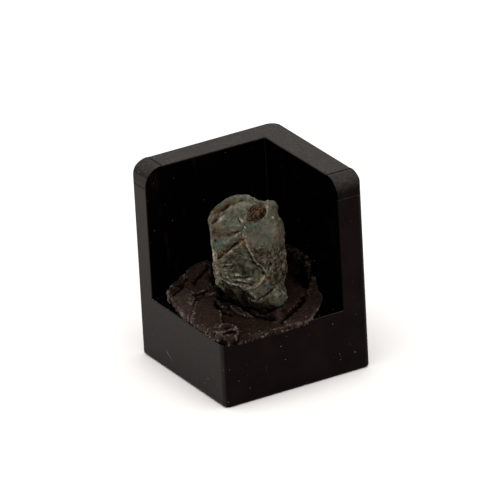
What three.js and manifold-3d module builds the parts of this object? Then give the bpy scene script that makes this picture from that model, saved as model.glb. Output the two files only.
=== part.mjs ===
// A rough zircon crystal, pressed into a pat of dark mounting putty on a moulded display holder.
// Millimetres, +Z up. The origin is the middle of the holder's underside, its side walls are along X and Y.
import * as THREE from 'three';
import { mergeVertices } from 'three/addons/utils/BufferGeometryUtils.js';
import { TessellateModifier } from 'three/addons/modifiers/TessellateModifier.js';
import { ImprovedNoise } from 'three/addons/math/ImprovedNoise.js';
import Module from 'manifold-3d';

const wasm = await Module();
wasm.setup();

// Holder: a square block with two tall walls, at its back (+Y) and its right (+X).
const SIDE = 28;
const HALF = SIDE / 2;
const HEIGHT = 34.8;
const BLOCK_TOP = 11.45;
const WALL = 4.76;
const INNER = HALF - WALL;
const SHOULDER = 3.3;
const CORNER_RADIUS = 0.6;
const BACK_CORNER_RADIUS = 1.4;
const FOOT_BEVEL = 0.5;
const SEAM = 0.2;
const CLEAR = 0.3;

// Stone: its own frame stands on the block, turned so that -Y is its broad front.
const STONE_PLACE = [1.2, -4.5, BLOCK_TOP + 0.05];
const STONE_TURN = -29.3;
const STONE_MIDDLE = new THREE.Vector3(-3.6, 0, 10);
const STONE_EDGE = 1.65;
const STONE_GRAIN = 0.13;
const LUMP_SIZE = 2.9;
const LUMP_PROUD = 0.95;
const LUMP_PLACE = [0.55, -3.35, 3.2];

// Every face of the stone: turn from the front (right is plus), tilt upwards, and distance from its middle.
const STONE_FACES = [
  { name: 'upper left', turn: -28, tilt: 25, out: 6.37 },
  { name: 'upper right', turn: 32, tilt: 16, out: 5.4 },
  { name: 'lower front', turn: -2, tilt: -5, out: 5.13 },
  { name: 'lower right', turn: 39, tilt: -1, out: 5.72 },
  { name: 'left strip', turn: -52, tilt: -7, out: 7.2 },
  { name: 'right', turn: 92, tilt: 1, out: 6.3 },
  { name: 'right shoulder', turn: 78, tilt: 27, out: 8.06 },
  { name: 'top right', turn: 70, tilt: 57, out: 9.05 },
  { name: 'top', turn: 180, tilt: 75, out: 9.98 },
  { name: 'top left', turn: -75, tilt: 62, out: 10.31 },
  { name: 'left shoulder', turn: -80, tilt: 33, out: 9.32 },
  { name: 'left', turn: -93, tilt: -3, out: 6.08 },
  { name: 'lower left', turn: -97, tilt: -5, out: 5.55 },
  { name: 'bottom left', turn: -74, tilt: -43, out: 7.56 },
  { name: 'low front', turn: -12, tilt: -22, out: 6.45 },
  { name: 'bottom front', turn: -5, tilt: -68, out: 9.34 },
  { name: 'bottom right', turn: 75, tilt: -48, out: 9.6 },
  { name: 'bottom', turn: 0, tilt: -90, out: 9.45 },
  { name: 'right chip', turn: 68, tilt: 6, out: 5.95 },
  { name: 'top chip', turn: -8, tilt: 53, out: 8.75 },
  { name: 'back', turn: 175, tilt: 8, out: 4.14 },
  { name: 'back left', turn: -130, tilt: 12, out: 5.47 },
  { name: 'back right', turn: 128, tilt: 5, out: 5.68 },
  { name: 'back top', turn: 170, tilt: 45, out: 6.85 },
  { name: 'back low', turn: -170, tilt: -35, out: 6.65 },
];

// Putty: its edge in plan, from the front left corner round to the right, and its height.
const PAT_EDGE = [
  [-13.9, -12.6], [-13.2, -14.2], [-11.6, -14.4], [-8.6, -14.6], [-5.2, -14.7], [-1.6, -14.7], [1.6, -14.4],
  [4.3, -13.1], [6.6, -10.9], [8.5, -8.3], [9.4, -5.8], [9.6, -2.0], [9.6, 3.0], [9.6, 9.6],
  [3.0, 9.6], [-2.0, 9.6], [-7.0, 9.6], [-10.9, 9.3], [-12.1, 7.2], [-12.6, 5.3], [-13.1, 2.6],
  [-13.7, -0.4], [-13.9, -4.0], [-13.9, -8.6],
];
const PAT_MIDDLE = [-2.4, -3.4];
const PAT_THICK = 0.8;
const PAT_BACK_RISE = 3.6;
const PAT_CORNER_RISE = 1.5;
const PAT_SPOKES = 56;
const PAT_RINGS = 10;

// The smear of putty pressed up the right wall: its edge along Y and Z, and how far it stands off.
const SMEAR_EDGE = [
  [-6.7, 10.6], [-6.7, 12.6], [-6.2, 13.6], [-4.9, 14.2], [-4.6, 15.6], [-4.5, 17.0], [-3.3, 17.8],
  [-0.6, 17.9], [1.8, 17.9], [4.6, 17.3], [7.6, 16.6], [9.4, 16.0], [9.4, 10.6],
];
const SMEAR_THICK = 1.3;

// Flakes of putty pressed over each other like thick petals: outline in plan, height of the top over the
// block, and how much the top climbs for each millimetre along X and Y.
const PETALS = [
  {
    outline: [[-9.4, 9.3], [-7.2, 9.2], [-8.2, 7.2], [-10.3, 4.7], [-12.5, 4.3], [-12.4, 6.8], [-10.8, 8.2]],
    top: 2.2, climb: [0.04, 0.12],
  },
  {
    outline: [[-6.6, 8.8], [-3.0, 9.4], [-2.6, 5.0], [-6.0, 1.6], [-8.6, 0.9], [-10.6, 0.4], [-10.7, 3.7],
      [-8.9, 6.3]],
    top: 2.6, climb: [0.16, 0.16],
  },
  {
    outline: [[-12.5, 4.6], [-10.2, 5.6], [-9.0, 4.6], [-10.4, 1.0], [-12.6, -4.9], [-13.8, -2.5], [-13.3, 2.0]],
    top: 1.45, climb: [0.05, 0.03],
  },
  {
    outline: [[-9.8, 1.4], [-6.6, 1.6], [-7.6, -2.8], [-8.9, -7.3], [-9.9, -10.2], [-13.2, -11.8], [-13.8, -9.6],
      [-13.3, -5.0], [-11.0, -0.2]],
    top: 1.6, climb: [0.08, 0.05],
  },
  {
    outline: [[-8.3, -3.2], [-6.6, -1.2], [-5.2, -5.6], [-2.5, -9.4], [-0.6, -11.4], [-3.0, -13.6], [-6.6, -13.8],
      [-8.6, -11.6], [-8.7, -7.4]],
    top: 1.35, climb: [0.0, 0.05],
  },
  {
    outline: [[5.3, -8.0], [2.6, -10.6], [-1.6, -12.2], [-3.6, -10.4], [-1.0, -6.0], [3.0, -2.0], [8.0, -1.0],
      [9.2, -3.6], [9.2, -6.0], [7.4, -6.4]],
    top: 1.3, climb: [0.02, 0.03],
  },
  {
    outline: [[-13.4, -10.2], [-11.3, -8.8], [-9.7, -8.9], [-9.2, -11.0], [-10.2, -13.4], [-11.4, -12.4],
      [-13.2, -12.0]],
    top: 1.5, climb: [0.0, -0.04],
  },
];
const PETAL_SIDES = 26;
const PETAL_ROUND = 0.22;

// Hollows pressed into the putty: under the lip at the front left corner, and beside it.
const DENTS = [
  { at: [-11.9, -13.0, 12.5], radii: [1.7, 1.2, 0.45], turn: 20 },
  { at: [8.0, -1.5, 12.9], radii: [1.1, 1.6, 0.8], turn: 0 },
  { at: [7.9, 3.6, 15.4], radii: [0.8, 3.4, 1.2], turn: 0 },
];

// Creases in the putty, each a path of places in plan, with its width and depth.
const CREASES = [
  { path: [[5.6, -7.2], [4.6, -9.4], [1.6, -11.6], [-2.6, -13.0]], width: 0.7, depth: 0.7 },
  { path: [[-5.6, -4.4], [-4.6, -6.6], [-2.7, -9.0]], width: 1.0, depth: 1.0 },
  { path: [[-5.9, -7.9], [-5.2, -9.8], [-3.7, -11.3]], width: 0.9, depth: 0.8 },
  { path: [[-7.2, -0.4], [-8.6, -3.4], [-8.0, -6.2]], width: 0.9, depth: 0.9 },
  { path: [[-10.6, 0.7], [-9.4, 1.5], [-7.7, 1.9]], width: 0.9, depth: 0.9 },
  { path: [[-8.6, 6.6], [-7.4, 4.4], [-4.8, 2.9]], width: 0.9, depth: 0.8 },
];

const NOISE = new ImprovedNoise();

const plastic = new THREE.MeshStandardMaterial({ color: 0x141010, roughness: 0.3, metalness: 0 });
const brownPutty = new THREE.MeshStandardMaterial({ color: 0x2e2420, roughness: 0.6, metalness: 0 });
const greenGreyStone = new THREE.MeshStandardMaterial({ color: 0x6a6a5e, roughness: 0.35, metalness: 0 });

// A closed geometry with its shared corners joined becomes a solid that can be added or cut.
function toSolid(geometry) {
  const bare = geometry.clone();
  bare.deleteAttribute('normal');
  bare.deleteAttribute('uv');
  const joined = mergeVertices(bare, 1e-4);
  const vertProperties = new Float32Array(joined.attributes.position.array);
  const triVerts = new Uint32Array(joined.index.array);
  return new wasm.Manifold(new wasm.Mesh({ numProp: 3, vertProperties, triVerts }));
}

function toGeometry(solid) {
  const mesh = solid.getMesh();
  const geometry = new THREE.BufferGeometry();
  geometry.setAttribute('position', new THREE.BufferAttribute(new Float32Array(mesh.vertProperties), 3));
  geometry.setIndex(new THREE.BufferAttribute(new Uint32Array(mesh.triVerts), 1));
  return geometry;
}

function named(name, geometry, material) {
  const mesh = new THREE.Mesh(geometry, material);
  mesh.name = name;
  return mesh;
}

function boxBetween(low, high) {
  const box = new THREE.BoxGeometry(high[0] - low[0], high[1] - low[1], high[2] - low[2]);
  box.translate((low[0] + high[0]) / 2, (low[1] + high[1]) / 2, (low[2] + high[2]) / 2);
  return box;
}

// A square plan with one larger corner, bevelled at its foot: everything of the holder lies inside it.
function holderEnvelope() {
  const plan = new THREE.Shape();
  const straight = HALF - FOOT_BEVEL;
  const small = CORNER_RADIUS;
  const large = BACK_CORNER_RADIUS;
  plan.absarc(straight - small, -straight + small, small, -Math.PI / 2, 0);
  plan.absarc(straight - large, straight - large, large, 0, Math.PI / 2);
  plan.absarc(-straight + small, straight - small, small, Math.PI / 2, Math.PI);
  plan.absarc(-straight + small, -straight + small, small, Math.PI, 1.5 * Math.PI);
  const prism = new THREE.ExtrudeGeometry(plan, {
    depth: HEIGHT + 2, bevelEnabled: true, bevelSize: FOOT_BEVEL, bevelThickness: FOOT_BEVEL, bevelSegments: 3,
    curveSegments: 5,
  });
  prism.translate(0, 0, FOOT_BEVEL);
  return toSolid(prism);
}

// A wall seen from its broad side: a rectangle whose free top corner is rounded.
function wallSolid() {
  const outline = new THREE.Shape();
  outline.moveTo(HALF, 0);
  outline.lineTo(HALF, HEIGHT);
  outline.absellipse(-HALF + SHOULDER, HEIGHT - SHOULDER, SHOULDER, SHOULDER, Math.PI / 2, Math.PI);
  outline.lineTo(-HALF, 0);
  const wall = new THREE.ExtrudeGeometry(outline, { depth: WALL, bevelEnabled: false, curveSegments: 12 });
  wall.rotateX(Math.PI / 2);
  wall.translate(0, HALF, 0);
  return toSolid(wall);
}

// The fine moulding lines across the wall's edge, where its rounded corner starts and ends.
function seamCuts() {
  const start = -HALF + SHOULDER;
  const end = HEIGHT - SHOULDER;
  const across = boxBetween([start, INNER - 1, HEIGHT - SEAM / 2], [start + SEAM, HALF + 1, HEIGHT + 1]);
  const down = boxBetween([-HALF - 1, INNER - 1, end - SEAM], [-HALF + SEAM / 2, HALF + 1, end]);
  return toSolid(across).add(toSolid(down));
}

function holder() {
  const backWall = wallSolid().subtract(seamCuts());
  // The right wall is the back wall, mirrored across the diagonal of the plan.
  const rightWall = backWall.mirror([1, -1, 0]);
  const block = toSolid(boxBetween([-HALF, -HALF, 0], [HALF, HALF, BLOCK_TOP]));
  const solid = block.add(backWall).add(rightWall).intersect(holderEnvelope());
  return named('holder', toGeometry(solid), plastic);
}

// The unit vector that a face of the stone looks along.
function lookOut({ turn, tilt }) {
  const a = THREE.MathUtils.degToRad(turn);
  const t = THREE.MathUtils.degToRad(tilt);
  return new THREE.Vector3(Math.sin(a) * Math.cos(t), -Math.cos(a) * Math.cos(t), Math.sin(t));
}

// The block of material beyond one face, which is cut away.
function beyondFace(face, extra) {
  const size = 60;
  const normal = lookOut(face);
  const block = new THREE.BoxGeometry(size, size, size);
  block.applyQuaternion(new THREE.Quaternion().setFromUnitVectors(new THREE.Vector3(0, 0, 1), normal));
  const middle = STONE_MIDDLE.clone().addScaledVector(normal, face.out + extra + size / 2);
  block.translate(middle.x, middle.y, middle.z);
  return toSolid(block);
}

function facetedStone(extra) {
  let solid = toSolid(new THREE.BoxGeometry(40, 40, 40).translate(STONE_MIDDLE.x, 0, STONE_MIDDLE.z));
  for (const face of STONE_FACES) {
    solid = solid.subtract(beyondFace(face, extra));
  }
  return solid;
}

// The point of a named face of the stone at a place across (x) and up (z).
function onFace(name, x, z) {
  const face = STONE_FACES.find((one) => one.name === name);
  const normal = lookOut(face);
  const level = face.out + normal.dot(STONE_MIDDLE);
  return new THREE.Vector3(x, (level - normal.x * x - normal.z * z) / normal.y, z);
}

function ball(centre, radii, turn = 0, tilt = 0, across = 20) {
  const shape = new THREE.SphereGeometry(1, across, across / 2);
  shape.scale(radii[0], radii[1], radii[2]);
  shape.rotateX(THREE.MathUtils.degToRad(tilt));
  shape.rotateZ(THREE.MathUtils.degToRad(turn));
  shape.translate(centre.x, centre.y, centre.z);
  return toSolid(shape);
}

// A groove with a diamond section, pointed at both ends, along a path of points.
function groove(points, width, depth) {
  const path = new THREE.CatmullRomCurve3(points);
  const steps = 10;
  const sides = 4;
  const corners = [];
  const frames = path.computeFrenetFrames(steps, false);
  for (let i = 0; i <= steps; i += 1) {
    const swell = Math.sin(Math.PI * (0.04 + 0.92 * i / steps));
    const centre = path.getPointAt(i / steps);
    for (let k = 0; k < sides; k += 1) {
      const angle = 2 * Math.PI * k / sides;
      const corner = centre.clone();
      corner.addScaledVector(frames.normals[i], Math.cos(angle) * width * swell / 2);
      corner.addScaledVector(frames.binormals[i], Math.sin(angle) * depth * swell);
      corners.push(corner);
    }
  }
  return toSolid(skin(corners, sides));
}

// Triangles over rows of corners, each row a closed ring, with a flat cap on the first and the last ring.
function skin(corners, sides) {
  const rows = corners.length / sides;
  const index = [];
  for (let i = 0; i + 1 < rows; i += 1) {
    for (let k = 0; k < sides; k += 1) {
      const a = i * sides + k;
      const b = i * sides + (k + 1) % sides;
      index.push(a, b, a + sides, b, b + sides, a + sides);
    }
  }
  for (let k = 1; k + 1 < sides; k += 1) {
    const last = (rows - 1) * sides;
    index.push(0, k + 1, k, last, last + k, last + k + 1);
  }
  const geometry = new THREE.BufferGeometry().setFromPoints(corners);
  geometry.setIndex(index);
  return geometry;
}

// What was broken out of the stone: the hollow front facet, the pits, the grooves and the deep crack.
function stoneCuts() {
  const frontHollow = ball(new THREE.Vector3(-4.7, -16.25, 9.4), [11.9, 11.9, 12.4], 0, 0, 44);
  const backHollow = ball(new THREE.Vector3(-2.9, 13.3, 9.2), [10.2, 10.2, 8.6], 0, 0, 36);
  const sideHollow = ball(new THREE.Vector3(10.6, 1.6, 9.4), [8.6, 5.0, 9.0], 0, 0, 36);
  const ovalPit = ball(onFace('upper right', -1.55, 18.1), [1.75, 0.55, 1.5], 32, 0, 16);
  const smallPit = ball(onFace('upper left', -5.9, 15.7), [0.6, 0.35, 0.3], -28, 25, 10);
  const crack = groove([
    onFace('upper left', -4.6, 14.2), onFace('upper left', -6.2, 13.0), onFace('upper left', -8.9, 11.2),
  ], 0.9, 0.9);
  const highGroove = groove([
    onFace('upper left', -8.6, 17.2), onFace('upper left', -6.9, 18.8), onFace('upper left', -5.2, 19.6),
    onFace('upper left', -3.2, 19.6),
  ], 0.6, 0.6);
  const lowGroove = groove([
    onFace('upper left', -9.8, 15.6), onFace('upper left', -8.4, 16.6), onFace('upper left', -7.2, 17.2),
  ], 0.5, 0.5);
  const lowRightGroove = groove([
    onFace('lower right', 0.5, 5.9), onFace('lower right', -0.6, 4.2), onFace('lower right', -2.2, 3.0),
  ], 0.7, 0.6);
  return [frontHollow, backHollow, sideHollow, ovalPit, smallPit, crack, highGroove, lowGroove, lowRightGroove];
}

// What stands out of the stone: the bright lump at its lower right, like a small cube set on its corner.
function lowerLump(extra) {
  const size = LUMP_SIZE + 2 * extra;
  const lump = new THREE.BoxGeometry(size, size, size);
  lump.rotateY(THREE.MathUtils.degToRad(48));
  lump.rotateX(THREE.MathUtils.degToRad(-14));
  lump.rotateZ(THREE.MathUtils.degToRad(16));
  lump.translate(...LUMP_PLACE);
  return toSolid(lump).intersect(facetedStone(LUMP_PROUD + extra));
}

// Fine unevenness: every corner moves a little, by smooth noise that depends only on its place.
function roughen(geometry, amount, scale) {
  const place = geometry.attributes.position;
  const at = new THREE.Vector3();
  for (let i = 0; i < place.count; i += 1) {
    at.fromBufferAttribute(place, i);
    const u = at.x / scale;
    const v = at.y / scale;
    const w = at.z / scale;
    place.setXYZ(i, at.x + amount * NOISE.noise(u, v, w), at.y + amount * NOISE.noise(v + 7.3, w, u),
      at.z + amount * NOISE.noise(w, u + 3.1, v));
  }
  return geometry;
}

function stone() {
  let solid = facetedStone(0).add(lowerLump(0));
  for (const cut of stoneCuts()) {
    solid = solid.subtract(cut);
  }
  const fine = new TessellateModifier(STONE_EDGE, 8).modify(toGeometry(solid));
  const joined = mergeVertices(bareGeometry(fine), 1e-4);
  return named('zircon', roughen(joined, STONE_GRAIN, 1.7), greenGreyStone);
}

function bareGeometry(geometry) {
  const bare = new THREE.BufferGeometry();
  bare.setAttribute('position', geometry.attributes.position);
  if (geometry.index) {
    bare.setIndex(geometry.index);
  }
  return bare;
}

function ramp(value, low, high) {
  return THREE.MathUtils.smoothstep(value, low, high);
}

// Height of the putty's top over the block: thin at the front, heaped at the back and in the walls' corner.
function patHeight(x, y) {
  const back = PAT_BACK_RISE * ramp(y, -1, 9) * ramp(x, -13, -4);
  const corner = PAT_CORNER_RISE * ramp(x, 1, 9) * ramp(y, 0, 8);
  const round = 0.25 * NOISE.noise(x / 2.3, y / 2.3, 0.4);
  return PAT_THICK + back + corner + round;
}

// The pat itself: rings of corners from its middle to its edge, over a flat underside.
function patSolid() {
  const edge = new THREE.CatmullRomCurve3(PAT_EDGE.map(([x, y]) => new THREE.Vector3(x, y, 0)), true);
  const rim = edge.getSpacedPoints(PAT_SPOKES).slice(0, PAT_SPOKES);
  const rows = [];
  const row = (share, lift) => rim.map((point) => {
    const x = THREE.MathUtils.lerp(PAT_MIDDLE[0], point.x, share);
    const y = THREE.MathUtils.lerp(PAT_MIDDLE[1], point.y, share);
    return new THREE.Vector3(x, y, BLOCK_TOP + lift * patHeight(x, y));
  });
  rows.push(row(0.02, 0), row(0.97, 0), row(1, 0.35), row(1, 0.7), row(0.975, 0.93));
  for (let i = PAT_RINGS; i > 0; i -= 1) {
    rows.push(row(0.95 * i / PAT_RINGS, 1));
  }
  return toSolid(skin(rows.flat(), PAT_SPOKES));
}

// One petal: a rounded plate that reaches down into the block's top, where it is cut off.
function petal({ outline, top, climb }) {
  const loop = new THREE.CatmullRomCurve3(outline.map(([x, y]) => new THREE.Vector3(x, y, 0)), true);
  const corners = loop.getSpacedPoints(PETAL_SIDES).slice(0, PETAL_SIDES);
  const plate = new THREE.ExtrudeGeometry(new THREE.Shape(corners.map((at) => new THREE.Vector2(at.x, at.y))), {
    depth: top, bevelEnabled: true, bevelSize: PETAL_ROUND, bevelOffset: -PETAL_ROUND,
    bevelThickness: PETAL_ROUND, bevelSegments: 2,
  });
  const place = plate.attributes.position;
  for (let i = 0; i < place.count; i += 1) {
    const rise = climb[0] * (place.getX(i) - outline[0][0]) + climb[1] * (place.getY(i) - outline[0][1]);
    const upper = place.getZ(i) > top / 2 ? 1 : 0;
    place.setZ(i, place.getZ(i) - PETAL_ROUND * (1 - upper) + upper * rise);
  }
  plate.translate(0, 0, BLOCK_TOP - PETAL_ROUND);
  return toSolid(plate);
}

// The plate of putty up the right wall, with a rounded edge.
function smear() {
  const loop = new THREE.CatmullRomCurve3(SMEAR_EDGE.map(([y, z]) => new THREE.Vector3(y, z, 0)), true);
  const corners = loop.getSpacedPoints(PETAL_SIDES).map((at) => new THREE.Vector2(at.x, at.y));
  const plate = new THREE.ExtrudeGeometry(new THREE.Shape(corners.slice(0, PETAL_SIDES)), {
    depth: SMEAR_THICK - PETAL_ROUND, bevelEnabled: true, bevelSize: PETAL_ROUND, bevelOffset: -PETAL_ROUND,
    bevelThickness: PETAL_ROUND, bevelSegments: 2,
  });
  // The outline's first axis turns to Y and its second to Z, so that the plate stands along the wall.
  plate.applyMatrix4(new THREE.Matrix4().makeBasis(new THREE.Vector3(0, 1, 0), new THREE.Vector3(0, 0, 1),
    new THREE.Vector3(1, 0, 0)));
  plate.translate(INNER - SMEAR_THICK, 0, 0);
  return toSolid(plate);
}

function crease({ path, width, depth }, surface) {
  const points = path.map(([x, y]) => new THREE.Vector3(x, y, surface(x, y) + 0.1));
  return groove(points, width, depth);
}

function dent({ at, radii, turn }) {
  return ball(new THREE.Vector3(...at), radii, turn, 0, 14);
}

// The stone's space in the putty: the plain stone, a little larger all round and open to the top.
function stoneSpace() {
  const extra = CLEAR + STONE_GRAIN + 0.1;
  const room = facetedStone(extra).add(lowerLump(extra));
  return room.rotate([0, 0, STONE_TURN]).translate(STONE_PLACE);
}

function putty() {
  let solid = patSolid();
  solid = solid.add(smear());
  for (const one of PETALS) {
    solid = solid.add(petal(one));
  }
  const top = (x, y) => BLOCK_TOP + Math.max(patHeight(x, y), 1.3);
  for (const one of CREASES) {
    solid = solid.subtract(crease(one, top));
  }
  for (const one of DENTS) {
    solid = solid.subtract(dent(one));
  }
  const reach = HALF + 0.8;
  const room = toSolid(boxBetween([-reach, -reach, BLOCK_TOP], [INNER - CLEAR, INNER - CLEAR, HEIGHT]));
  solid = solid.intersect(room).subtract(stoneSpace());
  return named('putty', toGeometry(solid), brownPutty);
}

const specimen = new THREE.Group();
const setStone = new THREE.Group();
setStone.position.set(...STONE_PLACE);
setStone.rotation.z = THREE.MathUtils.degToRad(STONE_TURN);
setStone.add(stone());
specimen.add(holder(), putty(), setStone);

export default specimen;
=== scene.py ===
"""Finishes a rough zircon crystal, the putty that holds it, and its black display holder."""

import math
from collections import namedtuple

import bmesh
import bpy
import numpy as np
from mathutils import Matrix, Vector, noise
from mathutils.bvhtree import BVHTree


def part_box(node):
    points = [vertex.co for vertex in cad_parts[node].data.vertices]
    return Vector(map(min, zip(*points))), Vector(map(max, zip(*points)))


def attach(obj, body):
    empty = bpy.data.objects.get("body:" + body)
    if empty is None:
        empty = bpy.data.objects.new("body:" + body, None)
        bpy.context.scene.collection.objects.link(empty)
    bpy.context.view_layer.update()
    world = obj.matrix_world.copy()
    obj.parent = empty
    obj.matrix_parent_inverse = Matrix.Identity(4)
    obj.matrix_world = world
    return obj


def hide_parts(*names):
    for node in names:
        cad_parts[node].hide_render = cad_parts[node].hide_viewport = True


bl_info = {
    "name": "Rough Zircon Specimen",
    "version": (1, 0, 0),
    "blender": (4, 5, 0),
    "location": "3D View > Sidebar > Specimen",
    "description": "Sculpts and finishes a rough zircon set in putty on a display holder",
    "category": "Add Mesh",
}

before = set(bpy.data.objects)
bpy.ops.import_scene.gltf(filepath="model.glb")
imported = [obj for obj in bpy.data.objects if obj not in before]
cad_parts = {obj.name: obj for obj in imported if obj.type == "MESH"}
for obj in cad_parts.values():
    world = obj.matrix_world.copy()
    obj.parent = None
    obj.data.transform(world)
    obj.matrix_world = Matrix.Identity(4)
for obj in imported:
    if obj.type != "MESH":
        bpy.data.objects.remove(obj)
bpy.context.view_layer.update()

MM = 0.001

# The holder, in millimetres: its outside comes from the frame, its inner faces from the wall's thickness.
HOLDER_HIGH = np.array(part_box("holder")[1]) / MM
HALF = HOLDER_HIGH[0]
HEIGHT = HOLDER_HIGH[2]
WALL = 4.76
INNER = HALF - WALL
BLOCK_TOP = 11.45

# The stone's own frame: it stands on the block, turned so that -Y is its broad front.
STONE_PLACE = np.array([1.2, -4.5, BLOCK_TOP + 0.05])
STONE_TURN = math.radians(-29.3)

# The camera: it looks at the stone's broad front from above.
VIEW_TURN = math.radians(-29.3)
VIEW_RISE = math.radians(23.876)
VIEW_ROLL = math.radians(-3.176)
VIEW_DISTANCE = 1187.07
VIEW_TARGET = (0.007, -0.004, 19.98)
VIEW_LENS = 515.6

# The stage, in metres: half the floor's side, and the softbox above and in front of the holder.
FLOOR_HALF = 4.0
SOFTBOX_PLACE = (-0.02, -0.06, 0.5)
SOFTBOX_SIZE = 0.5

# A line drawn on a surface: its points, half its width, how far it stands out, and what it is tinted with.
Line = namedtuple("Line", "points width rise tint strength")
# A spot on a surface: its middle, its half sizes, its turn in degrees, its height, and its tint.
Spot = namedtuple("Spot", "middle size turn rise tint strength")

# Areas of the stone's front, as outlines (across, up) in millimetres, seen from the camera's height.
STONE_AREAS = {
    "left": [
        (-9.8, 17.0), (-8.2, 19.0), (-5.0, 20.3), (-2.9, 19.8), (-3.7, 16.4), (-4.6, 13.5), (-4.3, 12.0),
        (-8.4, 9.3), (-9.4, 10.5),
    ],
    "right": [
        (-2.0, 14.7), (-0.3, 15.2), (0.4, 18.4), (1.4, 18.0), (2.6, 14.5), (2.6, 11.5), (0.3, 10.3),
        (-2.8, 10.6), (-3.9, 11.9), (-3.8, 13.8),
    ],
    "hollow": [
        (-4.1, 11.8), (-6.4, 10.2), (-8.4, 8.7), (-8.8, 6.3), (-8.0, 5.2), (-6.5, 4.2), (-5.3, 3.4),
        (-3.8, 3.0), (-2.0, 3.7), (-1.1, 5.2), (-0.9, 6.1), (-1.6, 6.9), (-2.6, 8.0), (-3.3, 9.6),
    ],
    "rough": [
        (0.3, 10.3), (3.2, 11.2), (3.2, 2.6), (1.0, 3.2), (-0.8, 3.4), (-1.1, 5.2), (-0.9, 6.1), (-1.6, 6.9),
        (-2.6, 8.0), (-3.0, 10.0),
    ],
    "low": [
        (-1.1, 5.2), (1.0, 3.4), (0.3, 2.8), (-1.4, 1.4), (-2.4, 0.9), (-3.4, 1.6), (-4.5, 3.0), (-2.8, 3.0),
    ],
    "lump": [
        (0.6, 2.6), (1.3, 2.1), (2.0, 1.1), (2.5, 0.7), (2.1, -0.1), (1.3, 0.3), (-0.2, 0.4), (-1.3, 0.7),
        (-0.6, 1.7),
    ],
    "ribbed": [
        (-9.6, 6.2), (-8.8, 6.3), (-8.0, 5.2), (-5.3, 3.4), (-3.4, 1.6), (-2.4, 0.9), (-5.0, -0.6),
        (-9.0, 3.2),
    ],
    "pit": [
        (-3.7, 15.5), (-3.1, 16.9), (-2.4, 17.9), (-1.6, 18.4), (-0.6, 18.4), (-0.2, 17.7), (-0.2, 16.8),
        (-0.5, 15.8), (-1.3, 15.1), (-2.2, 14.8), (-3.2, 15.1),
    ],
}

# How soft the edge of each area is, in millimetres.
AREA_EDGES = {
    "left": 0.5, "right": 0.5, "hollow": 0.25, "rough": 0.5,
    "low": 0.2, "lump": 0.25, "ribbed": 0.4, "pit": 0.24,
}

LEFT_CREST = [(-4.0, 11.6), (-4.7, 11.0), (-5.4, 10.4), (-6.2, 9.9), (-7.2, 9.3), (-8.3, 8.5)]
LEFT_CREVICE = [(-4.6, 11.7), (-5.3, 11.2), (-6.1, 10.6), (-6.9, 10.0), (-7.7, 9.4), (-8.5, 8.8)]
RIGHT_CREST = [
    (-4.1, 11.8), (-3.7, 10.9), (-3.3, 9.7), (-2.9, 8.8), (-2.6, 8.0), (-2.1, 7.2), (-1.6, 6.9), (-0.9, 6.1),
]
LOWER_CREST = [(-1.1, 5.2), (-1.4, 4.5), (-2.0, 3.7), (-2.8, 3.2), (-3.8, 3.0), (-4.5, 3.2), (-5.3, 3.4)]

# The stone's foot lies below this line; it is painted darker as shade from the putty.
FOOT_LINE = [
    (-10.5, 4.0), (-8.2, 3.4), (-6.8, 3.3), (-5.4, 2.9), (-4.2, 2.0), (-3.0, 0.9), (-1.6, 0.7), (-0.4, 0.3),
    (0.8, 0.0), (3.4, -0.6),
]

# Where the real stone's outline is rounder than its solid.
Corner = namedtuple("Corner", "middle size turn share")
ROUNDED_CORNERS = [
    Corner((2.2, 18.4), (1.5, 1.5), 0, 1.0),
    Corner((-8.0, 19.2), (2.2, 1.0), 35, 0.9),
    Corner((-1.0, 19.2), (1.2, 0.8), 0, 0.8),
    Corner((2.0, 11.5), (1.2, 5.0), 0, 0.7),
    Corner((1.6, 1.0), (1.4, 1.4), 0, 0.5),
]

# Moves of the stone's outline in the front view: a middle, half sizes, and how far (across, up) it moves.
Push = namedtuple("Push", "middle size move")
STONE_PUSHES = [
    Push((-7.4, 19.6), (2.2, 1.2), (0.3, -0.5)),
    Push((-1.0, 19.2), (0.9, 0.9), (0.15, -0.35)),
    Push((1.0, 18.6), (0.8, 0.7), (0.25, 0.35)),
    Push((2.7, 16.4), (1.1, 1.1), (-0.6, -0.1)),
    Push((-10.0, 9.4), (1.2, 1.8), (0.5, 0.0)),
    Push((3.0, 3.6), (1.6, 1.5), (-0.8, 0.0)),
    Push((2.4, 0.4), (1.3, 1.0), (0.7, 0.0)),
    Push((-1.4, 0.1), (2.2, 1.0), (0.1, -0.9)),
]

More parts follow.
